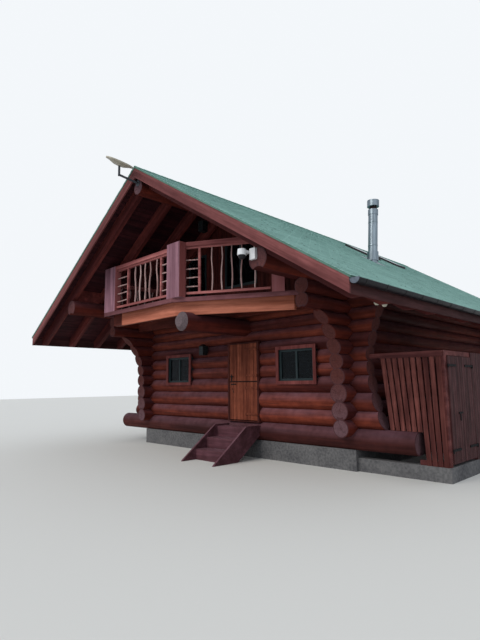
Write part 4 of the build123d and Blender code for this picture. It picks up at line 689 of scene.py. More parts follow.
# The concrete's grey is made darker to paint the shade that lies on the foundation.
concrete = speckled_finish("concrete", (0.150, 0.148, 0.150), (0.056, 0.056, 0.062), 22.0, 1.7, 0.9, 0.5)
flue_steel = speckled_finish(
    "flue_steel", (0.30, 0.36, 0.40), (0.12, 0.14, 0.16), 14.0, 2.0, 0.34, 0.05, 1.0, (3.0, 3.0, 0.15), 0.5
)
black_paint = speckled_finish("black_paint", (0.008, 0.008, 0.009), (0.020, 0.020, 0.021), 60.0, 4.0, 0.50, 0.08)
gutter_black = speckled_finish(
    "gutter_black", (0.004, 0.004, 0.006), (0.014, 0.014, 0.018), 16.0, 1.5, 0.38, 0.35, gloss=0.12
)
dish_metal = speckled_finish("dish_metal", (0.440, 0.410, 0.330), (0.270, 0.250, 0.200), 20.0, 2.5, 0.5, 0.05)
arm_metal = speckled_finish("arm_metal", (0.075, 0.085, 0.100), (0.035, 0.040, 0.048), 25.0, 2.5, 0.5, 0.05)
cap_metal = speckled_finish("gutter_cap_metal", (0.130, 0.155, 0.195), (0.070, 0.082, 0.105), 25.0, 2.5, 0.5, 0.05)
white_plastic = speckled_finish("white_plastic", (0.620, 0.600, 0.500), (0.420, 0.400, 0.330), 30.0, 3.0, 0.35, 0.03)
dark_green = speckled_finish("dark_sash_paint", (0.014, 0.025, 0.028), (0.024, 0.038, 0.042), 40.0, 3.0, 0.50, 0.10)
check_dark = speckled_finish("dark_checks", (0.012, 0.006, 0.006), (0.028, 0.014, 0.012), 50.0, 4.0, 0.9, 0.1)
lantern_glass = speckled_finish("lantern_glass", (0.022, 0.027, 0.029), (0.008, 0.010, 0.011), 9.0, 3.0, 0.16, 0.02)
print("finishes so far", sum(1 for material in bpy.data.materials if material.use_nodes))

# %% [markdown]
# The dome camera at the end of the upper log is one solid: a white body, its wall plate, and a
# smoked dome underneath. Splitting the solid would change the CAD model, so the dome is a mask by
# height and side over the white plastic.

# %% Camera housing finish
DOME_TOP, DOME_SIDE = 3.9895, 3.4305


def camera_finish(name):
    material = speckled_finish(name, (0.720, 0.740, 0.760), (0.600, 0.620, 0.640), 30.0, 3.0, 0.35, 0.03)
    tree = material.node_tree
    colour_in = tree.nodes["Principled BSDF"].inputs["Base Color"]
    white = colour_in.links[0].from_socket
    split = split_place(tree, "Object")
    below = maths(tree, "LESS_THAN", split["Z"], DOME_TOP)
    beside = maths(tree, "LESS_THAN", split["X"], DOME_SIDE)
    dome = maths(tree, "MULTIPLY", below, beside)
    tree.links.new(mixed(tree, dome, white, (0.012, 0.013, 0.016)), colour_in)
    return material


camera_white = camera_finish("camera_white")
print("dome below", DOME_TOP)

# %% [markdown]
# Felt shingles are covered in coloured stone grit, and no two tabs have quite the same tone. The
# mesh's own map holds a number for each tab, and the finish reads it as a shade. Scattered dark
# flecks are cells of a Voronoi pattern, where a real roof has moss and bare spots. Noise alone
# would give no edges between tabs.

# %% Shingle tab finish
def tab_finish(name, base, dark):
    material, tree, shader = new_finish(name)
    place = place_of(tree, "Object")
    tone = split_place(tree, "UV")["X"]
    grit = noise(tree, place, 70.0, 4.0)
    clouds = ramp(tree, noise(tree, place, 0.8, 4.0), 0.35, 0.7)
    shares = ((ramp(tree, grit, 0.42, 0.68), 0.34), (tone, 0.22), (clouds, 0.18))
    tones = [maths(tree, "MULTIPLY", value, share) for value, share in shares]
    shading = maths(tree, "ADD", maths(tree, "ADD", tones[0], tones[1]), tones[2])
    cells = add_node(tree, "ShaderNodeTexVoronoi", None, {"Vector": place, "Scale": 6.0, "Randomness": 1.0})
    small = maths(tree, "LESS_THAN", cells.outputs["Distance"], 0.19)
    chosen = add_node(tree, "ShaderNodeSeparateXYZ", None, {0: cells.outputs["Color"]}).outputs["X"]
    fleck = maths(tree, "MULTIPLY", small, maths(tree, "GREATER_THAN", chosen, 0.3))
    shading = maths(tree, "ADD", shading, maths(tree, "MULTIPLY", fleck, 0.9), clamp=True)
    tree.links.new(mixed(tree, shading, base, dark), shader.inputs["Base Color"])
    shader.inputs["Roughness"].default_value = 0.92
    shader.inputs["Specular IOR Level"].default_value = 0.15
    add_bump(tree, shader, grit, 0.4, 0.004)
    return material


shingle_tabs = tab_finish("shingle_tabs", (0.270, 0.465, 0.420), (0.070, 0.150, 0.130))
print("tab finish", shingle_tabs.name)

# %% [markdown]
# The cut end of a log shows rings round its heart, pale dust, and a redder, darker tone at the
# middle heights, which is partly stain kept from the rain and partly painted shade under the roof
# and the balcony. A wood texture node draws rings round one axis only, and there are dozens of logs,
# so the rings come from the distance to the middle of the end in the mesh's own map.

# %% Ring finish for log ends
RING_WAVES = 190.0
SHELTERED_SHADE_RED, SHELTERED_SHADE_DARK = (0.120, 0.030, 0.020), (0.050, 0.012, 0.010)


def ring_finish(name, pale, dark, heart):
    material, tree, shader = new_finish(name)
    place = place_of(tree, "Object")
    end_map = split_place(tree, "UV")
    across = maths(tree, "SUBTRACT", maths(tree, "FRACT", end_map["X"]), 0.5)
    up = maths(tree, "SUBTRACT", end_map["Y"], 0.5)
    squares = maths(tree, "ADD", maths(tree, "MULTIPLY", across, across), maths(tree, "MULTIPLY", up, up))
    wobble = maths(tree, "MULTIPLY", noise(tree, place, 7.0, 3.0), 0.05)
    radius = maths(tree, "ADD", maths(tree, "SQRT", squares), wobble)
    wave = maths(tree, "SINE", maths(tree, "MULTIPLY", radius, RING_WAVES))
    rings = maths(tree, "MULTIPLY", maths(tree, "ADD", wave, 1.0), 0.5)
    grit = noise(tree, place, 30.0, 5.0)
    dust = maths(tree, "MULTIPLY", ramp(tree, grit, 0.3, 0.7), 0.45)
    mottled = maths(tree, "ADD", maths(tree, "MULTIPLY", rings, 0.50), dust)
    colour = mixed(tree, mottled, pale, dark)
    colour = mixed(tree, maths(tree, "MULTIPLY", ramp(tree, radius, 0.16, 0.02), 0.5), colour, heart)
    # Between about 1 and 4.6 m the end turns redder and darker: partly sheltered stain, partly painted shade.
    level = split_place(tree, "Object")["Z"]
    sheltered_shade = maths(tree, "MULTIPLY", ramp(tree, level, 0.9, 1.9), ramp(tree, level, 4.6, 3.6))
    red = mixed(tree, mottled, SHELTERED_SHADE_RED, SHELTERED_SHADE_DARK)
    colour = mixed(tree, maths(tree, "MULTIPLY", sheltered_shade, 0.8), colour, red)
    tree.links.new(colour, shader.inputs["Base Color"])
    shader.inputs["Roughness"].default_value = 0.85
    shader.inputs["Specular IOR Level"].default_value = 0.12
    add_bump(tree, shader, maths(tree, "ADD", maths(tree, "MULTIPLY", rings, 0.4), grit), 0.5, 0.006)
    return material


log_ends = ring_finish("log_end_rings", (0.165, 0.090, 0.104), (0.070, 0.034, 0.040), (0.050, 0.018, 0.018))
print("ring finish", log_ends.name)

# %% [markdown]
# The panes look nearly black, because the rooms behind them are dark. Clear glass would need those
# rooms, so the panes are tinted glass that still lets a little light through, with faint smears in
# its gloss.

# %% Window glass
def glass_finish(name, tint, rough):
    material, tree, shader = new_finish(name)
    smear = noise(tree, place_of(tree, "Object"), 2.5, 4.0)
    tree.links.new(maths(tree, "MULTIPLY", smear, rough), shader.inputs["Roughness"])
    colour = mixed(tree, ramp(tree, smear, 0.3, 0.7), tint, shade(tint, 0.8))
    tree.links.new(colour, shader.inputs["Base Color"])
    shader.inputs["Transmission Weight"].default_value = 0.92
    shader.inputs["IOR"].default_value = 1.18
    shader.inputs["Specular IOR Level"].default_value = 0.3
    return material


window_glass = glass_finish("window_glass", (0.06, 0.075, 0.09), 0.03)
print("glass finish", window_glass.name)

# %% [markdown]
# The finishes now go on the CAD solids. Each solid keeps its shape and gets one material, and the
# list reads like a painter's schedule: a finish, and all that takes it. Names could be matched by
# their words, but a plain list shows at once when a piece has been forgotten.

# %% Finish the CAD solids
schedule = (
    (concrete, ("foundation", "store_kerb")),
    (sill_wood, ("sill_logs",)),
    (logs_x, ("front_wall_left", "front_wall_right", "front_wall_over_door", "back_wall")),
    (logs_y, ("left_side_wall", "right_side_wall", "ridge_log")),
    (beam_wood, ("centre_beam",)),
    (timber_x, ("balcony_timbers",)),
    (rim_wood, ("balcony_rim_boards",)),
    (floor_wood, ("balcony_floor", "ground_floor", "loft_floor")),
    (trim_mauve, ("balcony_edge_boards",)),
    (post_mauve, ("balcony_posts",)),
    (rail_red, ("balcony_rails",)),
    (stick_pale, ("balcony_sticks",)),
    (barge_wood, ("barge_boards_front", "barge_boards_back")),
    (fascia_wood, ("eave_fascias",)),
    (roof_timber, ("eave_blocking", "rafters_left", "rafters_right")),
    (roof_board, ("roof_boards_left", "roof_boards_right")),
    (gable_wood, ("front_gable_wall", "back_gable_wall")),
    (dark_green, ("balcony_door", "loft_window", "window_frames")),
    (window_trim, ("window_trims",)),
    (window_glass, ("window_glass", "gable_glass", "skylight_glass")),
    (black_paint, ("skylight_curbs", "lanterns")),
    (jamb_wood, ("door_frame",)),
    (door_wood, ("door_upper", "door_lower")),
    (shingle_green, ("roof_cover_left", "roof_cover_right", "ridge_cap")),
    (flue_steel, ("flue",)),
    (gutter_black, ("gutter",)),
    (dish_metal, ("antenna_dish",)),
    (arm_metal, ("antenna_arm",)),
    (camera_white, ("dome_camera",)),
    (white_plastic, ("eave_lamp",)),
    (step_wood, ("step_stringers", "step_treads")),
    (store_timber, ("store_frame",)),
    (slat_wood, ("store_front_slats",)),
    (side_wood, ("store_side_boards", "store_rear_boards", "gate_left", "gate_right")),
)
finishes = {name: finish for finish, names in schedule for name in names}
for name, node in nodes.items():
    node.data.materials.clear()
    node.data.materials.append(finishes[name])
print("finished", len(finishes), "of", len(nodes))

# %% [markdown]
# The small repeated pieces below are joined meshes from loops. Thousands of separate objects would
# be slow to render, so each loop adds its corners and faces to one pair of lists. These are the
# forms it can add: a prism between two rings, a squared bar, and a skin over a row of rings.

# %% Forms
def prism(verts, faces, low, high):
    """Add a closed form between two rings of the same number of corners."""
    start = len(verts)
    count = len(low)
    verts.extend(low)
    verts.extend(high)
    faces.append(tuple(start + i for i in reversed(range(count))))
    faces.append(tuple(start + count + i for i in range(count)))
    for i in range(count):
        j = (i + 1) % count
        faces.append((start + i, start + j, start + count + j, start + count + i))


def bar(verts, faces, x0, x1, y0, y1, z0, z1):
    """Add a squared bar between two corners."""
    low = [(x0, y0, z0), (x1, y0, z0), (x1, y1, z0), (x0, y1, z0)]
    prism(verts, faces, low, [(x, y, z1) for x, y, z in low])


def ring_at(centre, across, up, radius, sides):
    """Corners of a round or faceted section."""
    corners = []
    for i in range(sides):
        angle = 2 * math.pi * i / sides
        corners.append(centre + across * (radius * math.cos(angle)) + up * (radius * math.sin(angle)))
    return corners


def tube(verts, faces, rings):
    """Add a skin over a row of rings, closed at both ends."""
    start = len(verts)
    sides = len(rings[0])
    for ring in rings:
        verts.extend(tuple(corner) for corner in ring)
    for row in range(len(rings) - 1):
        for i in range(sides):
            j = (i + 1) % sides
            a = start + row * sides
            faces.append((a + i, a + j, a + sides + j, a + sides + i))
    faces.append(tuple(start + i for i in reversed(range(sides))))
    last = start + (len(rings) - 1) * sides
    faces.append(tuple(last + i for i in range(sides)))


print("forms", [form.__name__ for form in (prism, bar, ring_at, tube)])

# %% [markdown]
# A finished pair of lists becomes an object that rides on its body, so it moves with its door leaf
# or gate. Thin marks on a log have to lie on its surface. Working out where that surface is would
# repeat the whole CAD model, so a search tree of the solid finds it with rays.

# %% From lists to pieces
def mesh_piece(name, verts, faces, material, slot, body="cabin", smooth=False, uvs=None):
    """Turn the lists into an object with its finish, riding on a body."""
    mesh = bpy.data.meshes.new(name)
    mesh.from_pydata([tuple(v) for v in verts], [], faces)
    if uvs:
        layer = mesh.uv_layers.new(name="place")
        for loop in mesh.loops:
            layer.data[loop.index].uv = uvs[loop.vertex_index]
    mesh.polygons.foreach_set("use_smooth", [smooth] * len(mesh.polygons))
    mesh.materials.append(material)
    mesh.update()
    piece = bpy.data.objects.new(name, mesh)
    bpy.context.scene.collection.objects.link(piece)
    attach(piece, body)
    print(name, len(mesh.polygons), "faces")
    return piece


def turned_out(verts, face, outward):
    """The corners of a face in the order that makes it look outward."""
    a, b, c = (Vector(verts[i]) for i in face[:3])
    return tuple(face) if (b - a).cross(c - a).dot(outward) > 0 else tuple(reversed(face))


def surface_of(name):
    """A search tree of a CAD node's surface."""
    mesh = nodes[name].data
    corners = [v.co.copy() for v in mesh.vertices]
    return BVHTree.FromPolygons(corners, [tuple(p.vertices) for p in mesh.polygons])


# %% [markdown]
# Felt shingles cover both slopes in rows of 140 mm, in strips cut into tabs. The tabs could be a
# bump on a flat sheet, but the stepped edge along the rakes and eaves would be missing. The roof
# windows and the flashing of the flue stand in the covering, so tabs are cut away round them.

# %% Shingle layout
FRONT_RAKE, REAR_RAKE = -6.400, 7.100
ROW, TAB, SLOT_GAP = 0.140, 0.333, 0.016
ROOF_WINDOW_RUN, ROOF_WINDOW_HALF = (0.97 / COS, 1.83 / COS), 0.36
FLUE_HOLE = (2.48 / COS, 3.02 / COS, -0.92, -0.38)
HOLES = [(*ROOF_WINDOW_RUN, y - ROOF_WINDOW_HALF, y + ROOF_WINDOW_HALF) for y in (1.200, 2.906)]
HOLES.append(FLUE_HOLE)


def on_roof(side, run, y, lift):
    """A point at a distance down the slope from the ridge, lifted square off the covering."""
    return (side * (run * COS + lift * SIN), y, APEX - run * SIN + lift * COS)


def without_holes(pieces, holes):
    """Cut rectangles (run0, run1, y0, y1) out of rectangles."""
    for r0, r1, y0, y1 in holes:
        kept = []
        for a0, a1, b0, b1 in pieces:
            if a1 <= r0 or a0 >= r1 or b1 <= y0 or b0 >= y1:
                kept.append((a0, a1, b0, b1))
                continue
            if b0 < y0:
                kept.append((a0, a1, b0, y0))
            if b1 > y1:
                kept.append((a0, a1, y1, b1))
            c0, c1 = max(b0, y0), min(b1, y1)
            if a0 < r0:
                kept.append((a0, r0, c0, c1))
            if a1 > r1:
                kept.append((r1, a1, c0, c1))
        pieces = kept
    return pieces


print("rows on a slope", int((SLOPE_LENGTH - 0.10) / ROW) + 1, "holes", len(HOLES))

# %% [markdown]
# Each tab is a thin wedge, thicker at its lower edge, where it lies on the row below. Every second
# row moves by half a tab, as a roofer lays them, and each row starts and ends a few millimetres
# off, because real ones do.

# %% Shingles on both slopes
UNDERSIDE, UPPER_EDGE, LOWER_EDGE = 0.0005, 0.0015, 0.0075
EAVE_OVERHANG, RAKE_OVERHANG, RIDGE_STOP = 0.008, 0.004, 0.06
STRAY, NARROWEST = 0.02, 0.03


def slab(verts, faces, side, run0, run1, y0, y1, under, upper, lower):
    """A thin slab on a slope, lifted by under, and by upper and lower at the edges of its top."""
    low = [on_roof(side, run, y, under) for run, y in ((run0, y0), (run1, y0), (run1, y1), (run0, y1))]
    high = [
        on_roof(side, run0, y0, upper),
        on_roof(side, run1, y0, lower),
        on_roof(side, run1, y1, lower),
        on_roof(side, run0, y1, upper),
    ]
    if side < 0:
        low.reverse()
        high.reverse()
    prism(verts, faces, low, high)


def shingle_slope(name, side, holes):
    verts, faces, uvs = [], [], []
    rows = int((SLOPE_LENGTH - 0.10) / ROW) + 1
    for row in range(rows):
        lower = SLOPE_LENGTH + EAVE_OVERHANG - row * ROW
        upper = max(lower - ROW, RIDGE_STOP)
        y = FRONT_RAKE - (TAB / 2 if row % 2 else 0.0) - STRAY * random.random()
        while y < REAR_RAKE:
            y0 = max(y, FRONT_RAKE - RAKE_OVERHANG)
            y1 = min(y + TAB - SLOT_GAP, REAR_RAKE + RAKE_OVERHANG)
            tone = random.random()
            drop = random.uniform(-0.003, 0.003)
            y += TAB
            if y1 - y0 < NARROWEST:
                continue
            for run0, run1, near, far in without_holes([(upper, lower + drop, y0, y1)], holes):
                slab(verts, faces, side, run0, run1, near, far, UNDERSIDE, UPPER_EDGE, LOWER_EDGE)
                uvs.extend([(tone, row / rows)] * 8)
    mesh_piece(name, verts, faces, shingle_tabs, "roof_shingles", uvs=uvs)


shingle_slope("shingles_right", 1, HOLES)
shingle_slope("shingles_left", -1, [])

# %% [markdown]
# Single tabs are bent over the ridge, one after another, and each is thicker at its front edge than
# the next one in front is at its back. A long folded sheet would be simpler, but the steps along
# the ridge show against the sky.

# %% Ridge shingles
RIDGE_TAB, RIDGE_REACH = 0.25, 0.192
RIDGE_UNDER, RIDGE_NEAR, RIDGE_FAR = 0.0135, 0.0205, 0.0150
verts, faces, uvs = [], [], []
y = FRONT_RAKE
while y < REAR_RAKE - 0.05:
    tone = random.random()
    y1 = min(y + RIDGE_TAB, REAR_RAKE)
    for side in (1, -1):
        corners = ((0.0, y), (RIDGE_REACH, y), (RIDGE_REACH, y1), (0.0, y1))
        low = [on_roof(side, run, at, RIDGE_UNDER) for run, at in corners]
        high = [on_roof(side, run, at, RIDGE_NEAR if at == y else RIDGE_FAR) for run, at in corners]
        if side < 0:
            low.reverse()
            high.reverse()
        prism(verts, faces, low, high)
        uvs.extend([(tone, 0.5)] * 8)
    y = y1
mesh_piece("ridge_shingles", verts, faces, shingle_tabs, "roof_shingles", uvs=uvs)

# %% [markdown]
# The log ends are found by place, so the script needs the courses of the walls: the heights where
# one log beds on the next, and the lines of the four walls. Each log is a little thicker than its
# course, because the one above is scribed down over it. The courses of the side walls are half a
# log out of step with those in front, as round logs always are. All this could be measured from the
# solids, but the rule is shorter to write.

# %% Courses of logs
BEDS = [0.85, 1.19, 1.56, 1.91, 2.20, 2.50, 2.80, 3.07, 3.33, 3.62, 3.92]
LOWEST_SIDE_BED = 0.69
SCRIBE = 0.014
COURSES_BELOW_DOOR_HEAD = 6
SIDE_X, FRONT_Y, BACK_Y = 3.57, -3.315, 5.685
PLATE_LOG, SILL_LOG, RIDGE_LOG = (3.92, 0.42), (0.625, 0.45), (6.286, 0.33)


def courses(beds):
    """The middle height and the diameter of each log between two beds."""
    return [((low + high) / 2, high - low + 2 * SCRIBE) for low, high in zip(beds, beds[1:])]


def front_node(number, left):
    """The node that holds a course of the front wall, to one side of the door."""
    if number >= COURSES_BELOW_DOOR_HEAD:
        return "front_wall_over_door"
    return "front_wall_left" if left else "front_wall_right"


front_rows = courses(BEDS)
side_rows = courses([LOWEST_SIDE_BED] + [z for z, _ in front_rows])
print("courses", len(front_rows), "in front,", len(side_rows), "at the sides")

# %% [markdown]
# Every cut end is a node, the line of its log, its height and diameter, the axis it looks along,
# and which way. The list could be found by a search for flat faces, but doors and windows cut the
# logs too, and the walls follow such a plain rule that a few loops are clearer.

# %% Cut ends
ends = []
for sign in (1, -1):
    for number, row in enumerate(front_rows):
        ends.append((front_node(number, sign < 0), (0, FRONT_Y), row, "X", sign))
        ends.append(("back_wall", (0, BACK_Y), row, "X", sign))
    for y in (FRONT_Y, BACK_Y):
        ends.append(("sill_logs", (0, y), SILL_LOG, "X", sign))
for name, x in (("left_side_wall", -SIDE_X), ("right_side_wall", SIDE_X)):
    for row in side_rows + [PLATE_LOG]:
        for sign in (-1, 1):
            ends.append((name, (x, 0), row, "Y", sign))
for sign in (-1, 1):
    ends.append(("ridge_log", (0, 0), RIDGE_LOG, "Y", sign))
surfaces = {name: surface_of(name) for name in sorted({end[0] for end in ends})}
print("cut ends", len(ends), "on", len(surfaces), "nodes")

# %% [markdown]
# A ray runs in along the log from far outside and stops where it meets the end. Its place across
# the section is given, so a ring of such rays finds the end's own surface. The place of each end
# could be worked out instead, but no two logs are cut to the same length. A ray that misses the end
# and lands deeper in the wall is thrown away.

# %% Rays on to the cut ends
START_X, START_Y = 8.0, 10.0
SAME_FACE = 0.32


def cast_end(end, along, aside):
    """A point on a log's end, at a place in its section, found by a ray along the log."""
    name, (x, y), (z, _), axis, sign = end
    if axis == "X":
        start, direction = Vector((START_X * sign, y + along, z + aside)), Vector((-sign, 0, 0))
    else:
        start, direction = Vector((x + along, START_Y * sign, z + aside)), Vector((0, -sign, 0))
    hit = surfaces[name].ray_cast(start, direction)[0]
    return (None, None) if hit is None else (hit, -direction)


def cast_near(end, heart, radius, share, angle):
    """A point on the same cut face as the heart, by its share of the radius and its angle."""
    hit, outward = cast_end(end, radius * share * math.cos(angle), radius * share * math.sin(angle))
    if hit is None or (hit - heart).length > SAME_FACE:
        return None, None
    return hit, outward


def section_of(end):
    """The heart of a cut end, the way it looks, and the radius to cover."""
    heart, outward = cast_end(end, 0.0, 0.0)
    return heart, outward, end[2][1] / 2 - 0.003


print("ends met by a ray", sum(1 for end in ends if section_of(end)[0] is not None))

# %% [markdown]
# The cut ends are where a log cabin shows its age. A thin skin lies on every end, a few rings of
# corners round the heart. It could be the solid's own face, but that one has no map. The skin's map
# holds the place in the log, from which the finish draws the rings.

# %% Skins on the log ends
SKIN_RINGS, SPOKES = (0.0, 0.35, 0.68, 0.93), 24
SKIN_LIFT = 0.0012


def skin_corners(index, end, verts, uvs):
    """Add the corners of one skin, and give their numbers by ring and spoke."""
    heart, _, radius = section_of(end)
    grid = {}
    for ring, share in enumerate(SKIN_RINGS):
        for spoke in range(SPOKES):
            if ring == 0 and spoke > 0:
                grid[ring, spoke] = grid[0, 0]
                continue
            angle = 2 * math.pi * spoke / SPOKES
            hit, outward = cast_near(end, heart, radius, share, angle)
            if hit is None:
                continue
            grid[ring, spoke] = len(verts)
            verts.append(hit + outward * SKIN_LIFT)
            uvs.append((index + 0.5 + 0.45 * share * math.cos(angle), 0.5 + 0.45 * share * math.sin(angle)))
    return grid


def skin_faces(grid, outward, verts, faces):
    """Join neighbours in the grid wherever all the corners of a face were met."""
    for ring in range(len(SKIN_RINGS) - 1):
        for spoke in range(SPOKES):
            after = (spoke + 1) % SPOKES
            keys = [(ring, spoke), (ring + 1, spoke), (ring + 1, after), (ring, after)]
            if all(key in grid for key in keys):
                face = list(dict.fromkeys(grid[key] for key in keys))
                faces.append(turned_out(verts, face, outward))


verts, faces, uvs = [], [], []
for index, end in enumerate(ends):
    heart, outward, _ = section_of(end)
    if heart is not None:
        skin_faces(skin_corners(index, end, verts, uvs), outward, verts, faces)
mesh_piece("log_end_skins", verts, faces, log_ends, "log_wood", uvs=uvs)

# %% [markdown]
# Drying wood cracks from the heart to the bark. Two to four dark strips run out on each end, wider
# towards the outside and never quite straight. Cutting real gaps would change the solids, and at
# this size a strip that lies on the skin looks the same.

# %% Checks in the log ends
CHECK_LIFT = 0.0018
CHECK_STEPS = 5


def end_check(end, heart, radius, angle, reach):
    """Points from near the heart outwards, with their share of the radius."""
    points = []
    for step in range(CHECK_STEPS + 1):
        share = 0.06 + (reach - 0.06) * step / CHECK_STEPS
        bend = angle + random.uniform(-0.05, 0.05)
        hit, outward = cast_near(end, heart, radius, share, bend)
        if hit is None:
            break
        points.append((hit + outward * CHECK_LIFT, share))
    return points


def strip(verts, faces, points, sideways, outward):
    """Add a flat strip along points, each given with its half width."""
    base = len(verts)
    for point, half in points:
        verts.append(point - sideways * half)
        verts.append(point + sideways * half)
    for step in range(len(points) - 1):
        a = base + 2 * step
        faces.append(turned_out(verts, (a, a + 1, a + 3, a + 2), outward))


verts, faces = [], []
for end in ends:
    heart, outward, radius = section_of(end)
    if heart is None:
        continue
    for _ in range(random.choice((2, 3, 3, 4))):
        angle = random.uniform(0, 2 * math.pi)
        reach = random.uniform(0.55, 0.93)
        width = random.uniform(0.003, 0.0065)
        points = end_check(end, heart, radius, angle, reach)
        if len(points) < 4:
            continue
        turn_x = -math.sin(angle)
        sideways = Vector((0, turn_x, math.cos(angle)) if end[3] == "X" else (turn_x, 0, math.cos(angle)))
        strip(verts, faces, [(point, width * (0.25 + share) / 2) for point, share in points], sideways, outward)
mesh_piece("log_end_checks", verts, faces, check_dark, "log_wood")

# %% [markdown]
# Round logs also split along their length as they dry. These long checks are slim dark strips,
# widest in the middle. They are laid on the round faces by a row of rays, and one that would jump
# from a log to its neighbour, or over a window, is left out.

# %% Long checks in the logs
LONG_LIFT, LONG_STEP, LONG_JUMP = 0.0012, 0.06, 0.02
UP = Vector((0, 0, 1))


def long_check(verts, faces, name, start, direction, along, length, width):
    """A strip on the surface that the rays meet, tapering to both ends."""
    steps = max(6, int(length / LONG_STEP))
    points, last = [], None
    for step in range(steps + 1):
        share = step / steps
        wander = 0.004 * math.sin(9 * share + length)
        origin = start + along * (share * length) + UP * wander
        hit, _, _, distance = surfaces[name].ray_cast(origin, direction)
        if hit is None or (last is not None and abs(distance - last) > LONG_JUMP):
            return
        taper = math.sin(math.pi * share) ** 0.6
        points.append((hit - direction * LONG_LIFT, max(0.0004, width * taper / 2)))
        last = distance
    strip(verts, faces, points, -UP, -direction)


def random_height(row):
    return row[0] + row[1] * random.uniform(-0.28, 0.30)


def random_size(longest, shortest=0.4):
    return random.uniform(shortest, longest), random.uniform(0.003, 0.007)


verts, faces = [], []
FORWARD, ACROSS = Vector((0, 1, 0)), Vector((1, 0, 0))
for number, row in enumerate(front_rows):
    for _ in range(7):
        x = random.uniform(-4.0, 3.6)
        start = Vector((x, -9.0, random_height(row)))
        long_check(verts, faces, front_node(number, x < 0), start, FORWARD, ACROSS, *random_size(1.3, 0.35))
for name, sign in (("left_side_wall", -1), ("right_side_wall", 1)):
    for row in side_rows + [PLATE_LOG]:
        for _ in range(8):
            start = Vector((9.0 * sign, random.uniform(-4.0, 5.6), random_height(row)))
            long_check(verts, faces, name, start, -sign * ACROSS, FORWARD, *random_size(1.5))
for row in front_rows:
    for _ in range(5):
        start = Vector((random.uniform(-3.4, 2.4), 12.0, random_height(row)))
        long_check(verts, faces, "back_wall", start, -FORWARD, ACROSS, *random_size(1.3))
mesh_piece("long_checks", verts, faces, check_dark, "log_wood")

# %% [markdown]
# The gables are clad with upright boards, cut to the slope of the roof and round the glazed door
# and the window. A bump could draw their joints, but not their edges against the openings. Each
# board is a slim prism with eased edges, on the plain wall of the CAD model.

# %% Gable boards
BOARD, BOARD_GAP, BOARD_THICK, BOARD_EASE = 0.132, 0.005, 0.012, 0.006
GABLE_HALF, GABLE_FOOT = 3.34, 3.924
FRONT_GABLE_FACE, BACK_GABLE_FACE = -3.3752, 5.7452
DOOR_HOLE = (-1.75, -0.95, 3.9, 5.45)
LOFT_HOLE = (-0.18, 1.00, 4.30, 5.68)


def gable_top(x):
    return APEX - abs(x) * math.tan(ANGLE) - 0.060 / COS


def trimmed(x0, x1, openings):
    """The edges of a board beside the openings, and the spans that it keeps over and under them."""
    spans = [(GABLE_FOOT, None)]
    for o0, o1, z0, z1 in openings:
        if x1 > o0 and x0 < o1:
            if x0 < o0 - 0.03:
                x1 = o0
            elif x1 > o1 + 0.03:
                x0 = o1
            else:
                spans = [(low, z0) for low, high in spans if low < z0 - 0.02] + [(z1, high) for low, high in spans]
    return x0, x1, spans


def gable_boards(name, face_y, outward, openings):
    verts, faces = [], []
    x = -GABLE_HALF
    y_out = face_y + outward * BOARD_THICK
    while x < GABLE_HALF - BOARD / 2:
        x0, x1, spans = trimmed(x, min(x + BOARD - BOARD_GAP, GABLE_HALF), openings)
        x += BOARD
        for low, high in spans:
            left, right = ((min(high, gable_top(edge)) if high else gable_top(edge)) for edge in (x0, x1))
            if min(left, right) - low < 0.03:
                continue
            corners = ((x0, low, 1), (x1, low, -1), (x1, right, -1), (x0, left, 1))
            inner = [(edge, face_y, z) for edge, z, _ in corners]
            outer = [(edge + eased * BOARD_EASE, y_out, z) for edge, z, eased in corners]
            if outward > 0:
                inner.reverse()
                outer.reverse()
            prism(verts, faces, inner, outer)
    mesh_piece(name, verts, faces, gable_wood, "gable_wood")


gable_boards("front_gable_boards", FRONT_GABLE_FACE, -1, [DOOR_HOLE, LOFT_HOLE])
gable_boards("back_gable_boards", BACK_GABLE_FACE, 1, [])

# %% [markdown]
# The railing is filled with peeled sticks that sway and thicken at their knots. They stand for the
# plain faceted sticks of the CAD model. A bent curve with a bevel would sway too, but it has the
# same thickness all along. Here each stick is a skin over rings of its own size, strung on a smooth
# line.

# %% Peeled stick
BENDS = (0.0, 0.9, 0.5, -0.7, 0.0)
KNOT_REACH = 0.035
STICK_SIDES = 10


def smooth_value(values, share):
    """A smooth curve through evenly spaced values."""
    place = share * (len(values) - 1)
    i = min(int(place), len(values) - 2)
    t = place - i
    before = values[max(i - 1, 0)]
    after = values[min(i + 2, len(values) - 1)]
    a, b = values[i], values[i + 1]
    square = (2 * before - 5 * a + 4 * b - after) * t**2
    return 0.5 * (2 * a + (b - before) * t + square + (3 * a - before - 3 * b + after) * t**3)


def peeled_stick(verts, faces, start, end, sway, radius, steps):
    """A round stick between two points, swaying to one side and swelling at its knots."""
    start, end = Vector(start), Vector(end)
    line = end - start
    axis = line.normalized()
    side = Vector(sway)
    amount = side.length
    side = side.normalized() if amount else axis.orthogonal().normalized()
    across = (side - axis * side.dot(axis)).normalized()
    other = axis.cross(across)
    knots = [(random.uniform(0.12, 0.9), random.uniform(0.002, 0.005)) for _ in range(3)]
    rings = []
    for step in range(steps + 1):
        share = step / steps
        centre = start + line * share + side * (amount * smooth_value(BENDS, share))
        swell = sum(size * math.exp(-(((share - at) / KNOT_REACH) ** 2)) for at, size in knots)
        rings.append(ring_at(centre, across, other, radius * (1.05 - 0.14 * share) + swell, STICK_SIDES))
    tube(verts, faces, rings)


print("half way up, a stick sways by", round(smooth_value(BENDS, 0.5), 3), "of its most")

# %% [markdown]
# The sticks keep the places that they have in the CAD model: upright ones in the middle of each
# bay, and short level rungs beside the posts. The right-hand side of the balcony is slanted, so its
# sticks stand on a slanted line. That line could be left to a turned copy of the left side, but the
# bays differ in width, so a small function gives the place on it.

